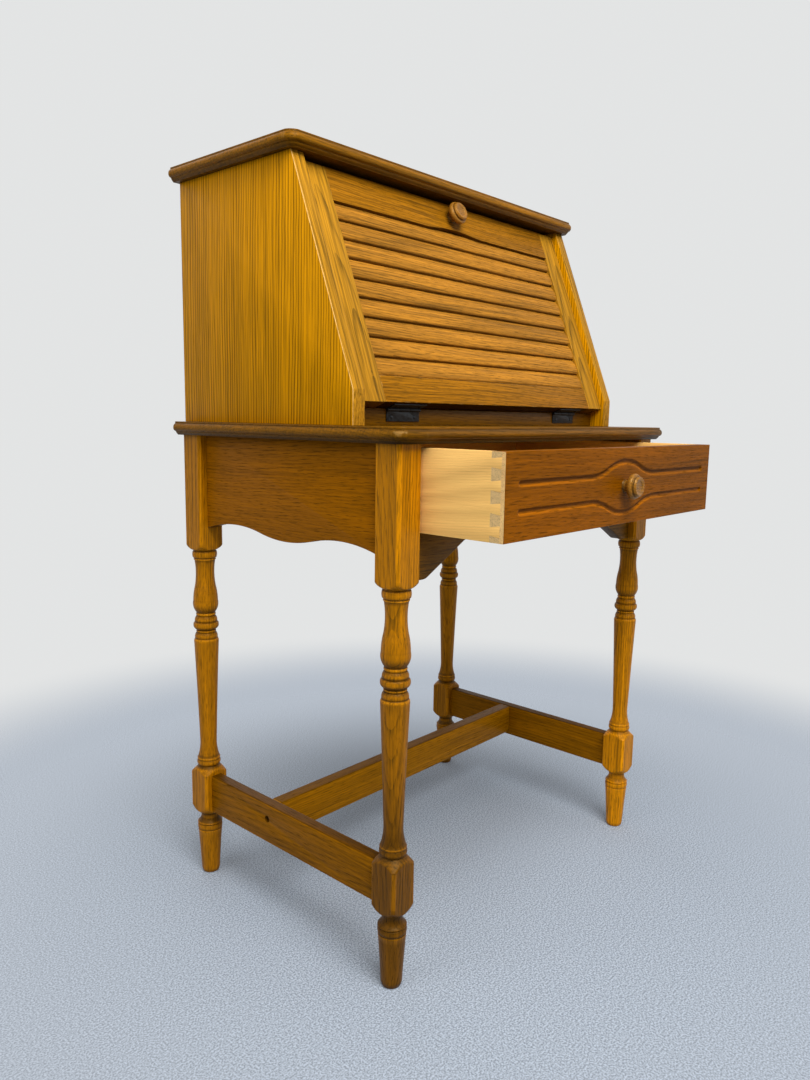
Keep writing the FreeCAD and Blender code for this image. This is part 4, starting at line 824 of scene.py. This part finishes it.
class DESK_OT_boards(bpy.types.Operator):
    """The desk top and the cabinet top with their moulded edges"""
    bl_idname = "desk.boards"
    bl_label = "Mould the boards"

    def execute(self, context):
        clip = context.scene.desk_sizes.corner_clip
        for node in ("desk_top", "cabinet_top"):
            low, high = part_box(node)
            shape = bmesh.new()
            painted_shading = shape.verts.layers.float.new("painted_shading")
            worn = shape.verts.layers.float.new("worn")
            rings = []
            for setback, height in EDGE_PROFILE:
                # painted shade below the nose and in the quirk, a painted highlight on the nose
                level = sum(tone for bottom, top, tone in EDGE_SHADING if bottom <= height < top)
                ring = []
                for x, y, near_corner in self.outline(low, high, clip, setback * MM):
                    vert = shape.verts.new((x, y, low.z + height * MM))
                    tone = level
                    # painted light on the whole cabinet top, painted shade on the front of the desk top
                    if node == "cabinet_top":
                        tone += CROWN_PAINTED_LIGHT
                    elif y < low.y + FRONT_REACH and height < FRONT_SHADE_TOP:
                        tone += FRONT_EDGE_SHADE
                    vert[painted_shading] = tone
                    vert[worn] = CORNER_WEAR if near_corner and level < 0 else 0.0
                    ring.append(vert)
                rings.append(ring)
            mesh = skinned(shape, rings, f"{node}_moulded", 40)
            show(f"{node}_moulded", mesh, "oak moulding", "desk", "oak_moulding", node)
        return {"FINISHED"}

    def outline(self, low, high, clip, inset):
        """A board's edge from its right end to its left one, with softly clipped front corners."""
        cut = clip - (2 - math.sqrt(2)) * inset
        right = high.x - inset
        front = low.y + inset
        start = Vector((right, front + cut))
        end = Vector((right - cut, front))
        bend = (start + end) / 2 + (Vector((right, front)) - (start + end) / 2) * 0.5
        half = [(right, high.y, False), (right, front + cut + CORNER_RUN, False)]
        for step in range(CORNER_STEPS + 1):
            part = step / CORNER_STEPS
            spot = start * (1 - part) ** 2 + bend * (2 * part * (1 - part)) + end * part ** 2
            half.append((*spot, True))
        half.append((right - cut - CORNER_RUN, front, False))
        return half + [(-x, y, near_corner) for x, y, near_corner in reversed(half)]


class DESK_OT_cabinet(bpy.types.Operator):
    """Side panels, floor, back, shelf, dividers and flap stops"""
    bl_idname = "desk.cabinet"
    bl_label = "Dress the cabinet"

    def execute(self, context):
        for side, sign in SIDES.items():
            woods = ("oak panel", "oak stile")
            panel = show_eased(f"side_panel_{side}", woods, "desk", "oak_panel", PANEL_EASE)
            wear = panel.data.attributes["worn"].data
            for face in panel.data.polygons:
                # wear and a painted highlight along the panel's front arris
                if face.normal.x * sign > 0.25 and face.normal.y < -0.25:
                    wear[face.index].value = PANEL_WEAR_AND_HIGHLIGHT
                elif face.normal.y < -0.6:
                    face.material_index = 1
            show_eased(f"divider_{side}", "oak panel", "desk", "oak_panel")
            show_eased(f"flap_stop_{side}", "pine side", "desk", "pine")
        show_eased("cabinet_bottom", "oak rail", "desk", "oak_panel")
        show_eased("interior_shelf", "oak rail", "desk", "oak_panel")
        # The hinge rail takes the darker moulding oak as painted shade under the flap
        show_eased("hinge_rail", "oak moulding", "desk", "oak_panel")
        show_eased("cabinet_back", "pine board", "desk", "pine")
        return {"FINISHED"}


class DESK_OT_flap(bpy.types.Operator):
    """Stiles, rails and writing panel of the flap"""
    bl_idname = "desk.flap"
    bl_label = "Dress the flap"

    def execute(self, context):
        for side in SIDES:
            show_eased(f"flap_stile_{side}", "oak stile", "flap", "oak_flap")
        show_eased("flap_top_rail", "oak rail", "flap", "oak_flap")
        bottom = show_eased("flap_bottom_rail", "oak rail", "flap", "oak_flap", BOTTOM_RAIL_EASE)
        # painted shade in the gap under the flap, on the bottom rail's underside and on faces that look up
        mark(bottom, "painted_shading", FLAP_GAP_SHADE, lambda face: face.normal.z < DOWN)
        mark(bottom, "painted_shading", FLAP_GAP_SHADE, lambda face: face.normal.z > 0.55 and face.normal.y < 0.2)
        show_eased("flap_panel", "oak rail", "flap", "oak_flap")
        return {"FINISHED"}


class DESK_OT_slats(bpy.types.Operator):
    """The row of fixed slats between the flap's stiles"""
    bl_idname = "desk.slats"
    bl_label = "Set the slats"

    def execute(self, context):
        sizes = context.scene.desk_sizes
        low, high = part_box(SLATS[0])
        top = SLAT_FOOT + sizes.slat_pitch - SLAT_GAP
        middle = SLAT_NOSE + SLAT_ROUND
        outline = [(SLAT_BACK, SLAT_FOOT), (middle, SLAT_FOOT)]
        for step in range(1, NOSE_STEPS + 1):
            turn = math.pi / 2 * step / NOSE_STEPS
            rise = SLAT_ROUND * (1 - math.cos(turn))
            outline.append((middle - SLAT_ROUND * math.sin(turn), SLAT_FOOT + rise))
        nose = Vector(outline[-1])
        run = Vector((SLAT_HEAD, top)) - nose
        swell = Vector((-run.y, run.x)).normalized() * SLAT_SWELL
        for step in range(1, FULL_STEPS + 1):
            part = step / FULL_STEPS
            outline.append(tuple(nose + run * part + swell * (4 * part * (1 - part))))
        outline.append((SLAT_BACK, top))
        shape = bmesh.new()
        painted_shading = shape.verts.layers.float.new("painted_shading")
        ends = []
        for x in (low.x, high.x):
            ring = []
            for y, z in outline:
                vert = shape.verts.new((x, *on_flap(y, z)))
                # painted shade along the slat's foot
                vert[painted_shading] = SLAT_FOOT_SHADE if z < SLAT_FOOT + SLAT_SHADE else 0.0
                ring.append(vert)
            ends.append(ring)
        slat = skinned(shape, ends, "slat", 40)
        first = Vector((0, *on_flap(0, 0)))
        step = Vector((0, *on_flap(0, sizes.slat_pitch))) - first
        values = {"Count": sizes.slat_count, "Step": tuple(step), "Material": finish("oak slat")}
        mesh = grown(slat, row_tree(), values)
        smooth(mesh, 40)
        show("flap_slats_row", mesh, "oak slat", "flap", "oak_slat", *SLATS)
        return {"FINISHED"}


class DESK_OT_hinges(bpy.types.Operator):
    """Two black butt hinges with their screws"""
    bl_idname = "desk.hinges"
    bl_label = "Dress the hinges"

    def execute(self, context):
        sizes = context.scene.desk_sizes
        places = []
        for side in SIDES:
            show_eased(f"hinge_rail_leaf_{side}", "iron", "desk", "black_iron", LEAF_EASE)
            show_eased(f"hinge_pin_{side}", "iron", "desk", "black_iron", PIN_EASE)
            show_eased(f"hinge_flap_leaf_{side}", "iron", "flap", "black_iron", LEAF_EASE)
            low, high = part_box(f"hinge_rail_leaf_{side}")
            middle = (low.x + high.x) / 2
            places += [middle - sizes.screw_spread / 2, middle + sizes.screw_spread / 2]
        reach = LEAF_REACH * SCREW_ROW
        face = LEAF_FACE - SCREW_PROUD
        on_rail = [(x, HINGE_AXIS.y + face, HINGE_AXIS.z - reach) for x in places]
        show_screws("hinge_rail_screws", on_rail, (0, -1, 0), sizes.screw_head, "desk")
        under = [(x, *on_flap(-reach, face)) for x in places]
        down = (0, -math.sin(SLANT), -math.cos(SLANT))
        show_screws("hinge_flap_screws", under, down, sizes.screw_head, "flap")
        return {"FINISHED"}


class DESK_OT_knobs(bpy.types.Operator):
    """The turned knobs of the flap and the drawer"""
    bl_idname = "desk.knobs"
    bl_label = "Turn the knobs"

    def execute(self, context):
        profile = curve_points([(-height, radius, full) for height, radius, full in KNOB_PROFILE])
        low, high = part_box("drawer_knob")
        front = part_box("drawer_front")[0].y
        drawer = Matrix.Translation((0, front, (low.z + high.z) / 2)) @ Matrix.Rotation(math.pi / 2, 4, "X")
        face = Matrix.Translation((0, *on_flap(FLAP_FACE, FLAP_KNOB)))
        flap = face @ Matrix.Rotation(math.pi / 2 - SLANT, 4, "X")
        for node, body, place in (("drawer_knob", "drawer", drawer), ("flap_knob", "flap", flap)):
            shape = bmesh.new()
            painted_shading = shape.verts.layers.float.new("painted_shading")
            rings = []
            for depth, radius in profile[:-1]:
                ring = []
                for step in range(KNOB_SIDES):
                    angle = math.tau * step / KNOB_SIDES
                    spot = Vector((radius * math.cos(angle), radius * math.sin(angle), -depth))
                    vert = shape.verts.new(place @ spot)
                    # painted shade at the root, in the groove and where the knob is narrow
                    vert[painted_shading] = self.painted_shade(-depth, radius)
                    ring.append(vert)
                rings.append(ring)
            bridge(shape, rings)
            shape.faces.new(rings[0])
            tip = shape.verts.new(place @ Vector((0, 0, -profile[-1][0])))
            for index, vert in enumerate(rings[-1]):
                shape.faces.new((vert, rings[-1][(index + 1) % KNOB_SIDES], tip))
            mesh = outward(shape, f"{node}_turned", 50)
            show(f"{node}_turned", mesh, "oak knob", body, "oak_knob", node)
        return {"FINISHED"}

    def painted_shade(self, height, radius):
        """Painted shade at a height above the wood and a radius."""
        in_groove = height > KNOB_FACE and KNOB_GROOVE[0] <= radius <= KNOB_GROOVE[1]
        if in_groove or height < KNOB_ROOT:
            return HEAVY_DARKENING
        return KNOB_NARROW_SHADE if radius < KNOB_NARROW else 0.0


class DESK_OT_drawer(bpy.types.Operator):
    """The dovetailed drawer"""
    bl_idname = "desk.drawer"
    bl_label = "Dress the drawer"

    def execute(self, context):
        for side in SIDES:
            show_eased(f"drawer_side_{side}", "pine side", "drawer", "pine", DRAWER_EASE)
        show_eased("drawer_back", "pine board", "drawer", "pine")
        show_eased("drawer_bottom", "pine board", "drawer", "pine", DRAWER_EASE)
        woods = ("oak drawer", "pine end", "oak end")
        mesh = self.front()
        front = show("drawer_front_dressed", mesh, woods, "drawer", "oak_drawer_front", "drawer_front")
        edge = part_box("drawer_front")[0].y
        for polygon in front.data.polygons:
            deep = polygon.center.y - edge
            if abs(polygon.normal.x) > 0.9 and EDGES_FROM < deep < LAP:
                polygon.material_index = 2
            elif deep > PINS_FROM and polygon.normal.z < 0.5:
                polygon.material_index = 1
            if deep > EDGES_FROM:
                polygon.use_smooth = False
        return {"FINISHED"}

    def front(self):
        """The front with its face drawn anew, so that the routed lines are soft hollows."""
        low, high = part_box("drawer_front")
        shape = merged_copy("drawer_front")
        geometry = [*shape.verts, *shape.edges, *shape.faces]
        bmesh.ops.bisect_plane(shape, geom=geometry, plane_co=(0, low.y + LAP, 0), plane_no=(0, 1, 0))
        rim = []
        for edge in sharp_edges(shape):
            if all(self.on_rim(vert.co, low, high) for vert in edge.verts):
                rim.append(edge)
        round_over(shape, rim, FRONT_EASE)
        old = [face for face in shape.faces if all(self.inside(vert.co, low, high) for vert in face.verts)]
        bmesh.ops.delete(shape, geom=old, context="FACES")
        painted_shading = shape.verts.layers.float.new("painted_shading")
        wide = high.x - low.x - 2 * FRONT_EASE
        tall = high.z - low.z - 2 * FRONT_EASE
        rows = []
        for step in range(FACE_UPWARD + 1):
            z = low.z + FRONT_EASE + tall * step / FACE_UPWARD
            row = []
            for place in range(FACE_ACROSS + 1):
                x = low.x + FRONT_EASE + wide * place / FACE_ACROSS
                # painted shade and painted highlight of the routed lines
                depth, tone = self.hollow(x, z - low.z, high.x)
                vert = shape.verts.new((x, low.y + depth, z))
                vert[painted_shading] = tone
                row.append(vert)
            rows.append(row)
        for under, over in zip(rows, rows[1:]):
            for place in range(FACE_ACROSS):
                shape.faces.new((under[place], under[place + 1], over[place + 1], over[place]))
        return outward(shape, "drawer_front_routed")

    def from_end(self, spot, low, high):
        """How far a point lies inside the nearest end of the front."""
        return min(spot.x - low.x, high.x - spot.x, spot.z - low.z, high.z - spot.z)

    def on_rim(self, spot, low, high):
        """Whether a point lies on the outer edge of the front's face."""
        return self.from_end(spot, low, high) < TOUCH and spot.y < low.y + TOUCH

    def inside(self, spot, low, high):
        """Whether a point lies on the front's face, in its lines or in the knob's socket."""
        in_line = spot.y < low.y + LINE_DEPTH + TOUCH
        in_socket = math.hypot(spot.x, spot.z - (low.z + high.z) / 2) < KNOB_SOCKET
        return self.from_end(spot, low, high) > FACE_RIM and (in_line or in_socket)

    def hollow(self, x, z, end):
        """Depth of the routed lines and their painted light, painted shade above and a painted highlight
        below, at one spot.
        """
        if abs(x) < LINE_BOW / 2:
            bow = LINE_RISE - LINE_BOW_RADIUS + math.sqrt(LINE_BOW_RADIUS ** 2 - x ** 2)
            slope = abs(x) / LINE_BOW_RADIUS
        else:
            inward = max(LINE_BOW - abs(x), 0.0)
            bow = LINE_BOW_RADIUS - math.sqrt(LINE_BOW_RADIUS ** 2 - inward ** 2)
            slope = inward / LINE_BOW_RADIUS
        past = max(abs(x) - (end - LINE_MARGIN), 0.0)
        for sign in (-1, 1):
            rise = z - LINE_MIDDLE - sign * (LINE_SPREAD / 2 + bow)
            away = math.hypot(rise * math.cos(slope), past) / LINE_HALF
            if away < 1:
                depth = LINE_DEPTH * (1 - away ** 2)
                if rise > -0.1 * LINE_HALF:
                    return depth, LINE_SHADE * (1 - away ** 4)
                return depth, LINE_HIGHLIGHT if away > 0.5 else 0.0
        return 0.0, 0.0


class DESK_OT_stage(bpy.types.Operator):
    """Studio floor, soft lights, pale surroundings and the camera"""
    bl_idname = "desk.stage"
    bl_label = "Set the stage"

    def execute(self, context):
        scene = context.scene
        scene.view_settings.view_transform = "Standard"
        self.floor(scene)
        self.surroundings(scene)
        self.light("Key", (-0.7, -1.4, 2.45), (0.0, 0.0, 0.8), 1.5, 83.0)
        self.light("Side", (-2.4, 0.3, 1.8), (0.0, 0.0, 0.8), 1.6, 17.0)
        self.light("Fill", (1.7, -2.2, 1.6), (0.0, 0.0, 0.6), 2.0, 9.0)
        self.light("Rim", (0.6, 2.2, 2.3), (0.0, 0.0, 0.8), 2.0, 12.0)
        self.camera(scene)
        return {"FINISHED"}

    def floor(self, scene):
        """A wide pale floor that fades into the backdrop."""
        shape = bmesh.new()
        bmesh.ops.create_circle(shape, cap_ends=True, segments=96, radius=9.0)
        mesh = written(shape, "floor")
        floor = placed("floor", mesh)
        shade = Shade("studio floor")
        speckle = shade.between(shade.noise(shade.place, 420.0, 3.0)[0], 0.3, 0.7)
        tints = scene.desk_colours
        near = shade.mix(speckle, linear(tints.floor, 0.78), linear(tints.floor, 1.17))
        shade.paint({"Base Color": near, "Roughness": 0.9})
        away = shade.node("ShaderNodeVectorMath", {0: shade.place}, operation="LENGTH").outputs["Value"]
        looked_at = shade.looked_at()
        surface = shade.shader.outputs[0]
        far = shade.mix(speckle, linear(tints.distance, 0.90), linear(tints.distance, 1.09))
        for colour, start, end in ((far, 0.28, 0.9), (linear(tints.backdrop), 0.95, 1.5)):
            glow = shade.node("ShaderNodeEmission", {"Color": colour}).outputs[0]
            fade = shade.times(shade.between(away, start, end), looked_at)
            surface = shade.blend(fade, surface, glow)
        shade.feed(shade.tree.nodes["Material Output"].inputs["Surface"], surface)
        mesh.materials.append(shade.material)

    def surroundings(self, scene):
        """The backdrop where one looks, a plain soft light elsewhere."""
        world = bpy.data.worlds.new("studio")
        world.use_nodes = True
        scene.world = world
        sky = Tree(world.node_tree)
        soft = sky.tree.nodes["Background"]
        soft.inputs["Color"].default_value = (0.93, 0.96, 1.0, 1.0)
        soft.inputs["Strength"].default_value = 0.29
        plain = sky.node("ShaderNodeBackground", {"Color": linear(scene.desk_colours.backdrop)})
        seen = sky.blend(sky.looked_at(), soft.outputs[0], plain.outputs[0])
        sky.feed(sky.tree.nodes["World Output"].inputs["Surface"], seen)

    def light(self, name, place, target, size, power):
        """One square soft light."""
        lamp = bpy.data.lights.new(name, "AREA")
        lamp.size = size
        lamp.energy = power
        holder = placed(name, lamp)
        holder.location = place
        way = Vector(target) - Vector(place)
        holder.rotation_euler = way.to_track_quat("-Z", "Y").to_euler()

    def camera(self, scene):
        """The photograph's viewpoint."""
        yaw, pitch, roll = (math.radians(angle) for angle in CAMERA_ANGLES)
        right = Vector((math.cos(yaw), -math.sin(yaw), 0))
        ahead = Vector((math.sin(yaw) * math.cos(pitch), math.cos(yaw) * math.cos(pitch), -math.sin(pitch)))
        up = right.cross(ahead)
        across = right * math.cos(roll) + up * math.sin(roll)
        upward = up * math.cos(roll) - right * math.sin(roll)
        lens = bpy.data.cameras.new("camera")
        lens.sensor_fit = "VERTICAL"
        lens.sensor_height = SENSOR
        lens.lens = FOCAL_PIXELS * SENSOR / PICTURE_HEIGHT
        holder = placed("camera", lens)
        turn = Matrix((across, upward, -ahead)).transposed().to_4x4()
        holder.matrix_world = Matrix.Translation(CAMERA_PLACE) @ turn
        scene.camera = holder


class DESK_PT_panel(bpy.types.Panel):
    """Lists the desk's pieces"""
    bl_label = "Writing desk"
    bl_idname = "DESK_PT_panel"
    bl_space_type = "VIEW_3D"
    bl_region_type = "UI"
    bl_category = "Desk"

    def draw(self, context):
        column = self.layout.column()
        for operator in OPERATORS:
            column.operator(operator.bl_idname)
        for group in (context.scene.desk_sizes, context.scene.desk_colours):
            for key in group.__annotations__:
                column.prop(group, key)


OPERATORS = (DESK_OT_legs, DESK_OT_stand, DESK_OT_boards, DESK_OT_cabinet, DESK_OT_flap, DESK_OT_slats,
             DESK_OT_hinges, DESK_OT_knobs, DESK_OT_drawer, DESK_OT_stage)
CLASSES = (DeskSizes, DeskColours, *OPERATORS, DESK_PT_panel)


def register():
    """Add the classes and the scene's settings."""
    for kind in CLASSES:
        bpy.utils.register_class(kind)
    bpy.types.Scene.desk_sizes = PointerProperty(type=DeskSizes)
    bpy.types.Scene.desk_colours = PointerProperty(type=DeskColours)


def unregister():
    """Take the classes and the scene's settings away."""
    del bpy.types.Scene.desk_colours
    del bpy.types.Scene.desk_sizes
    for kind in reversed(CLASSES):
        bpy.utils.unregister_class(kind)


def main():
    """Make every piece."""
    register()
    bpy.ops.desk.legs()
    bpy.ops.desk.stand()
    bpy.ops.desk.boards()
    bpy.ops.desk.cabinet()
    bpy.ops.desk.flap()
    bpy.ops.desk.slats()
    bpy.ops.desk.hinges()
    bpy.ops.desk.knobs()
    bpy.ops.desk.drawer()
    bpy.ops.desk.stage()


if __name__ == "__main__":
    main()
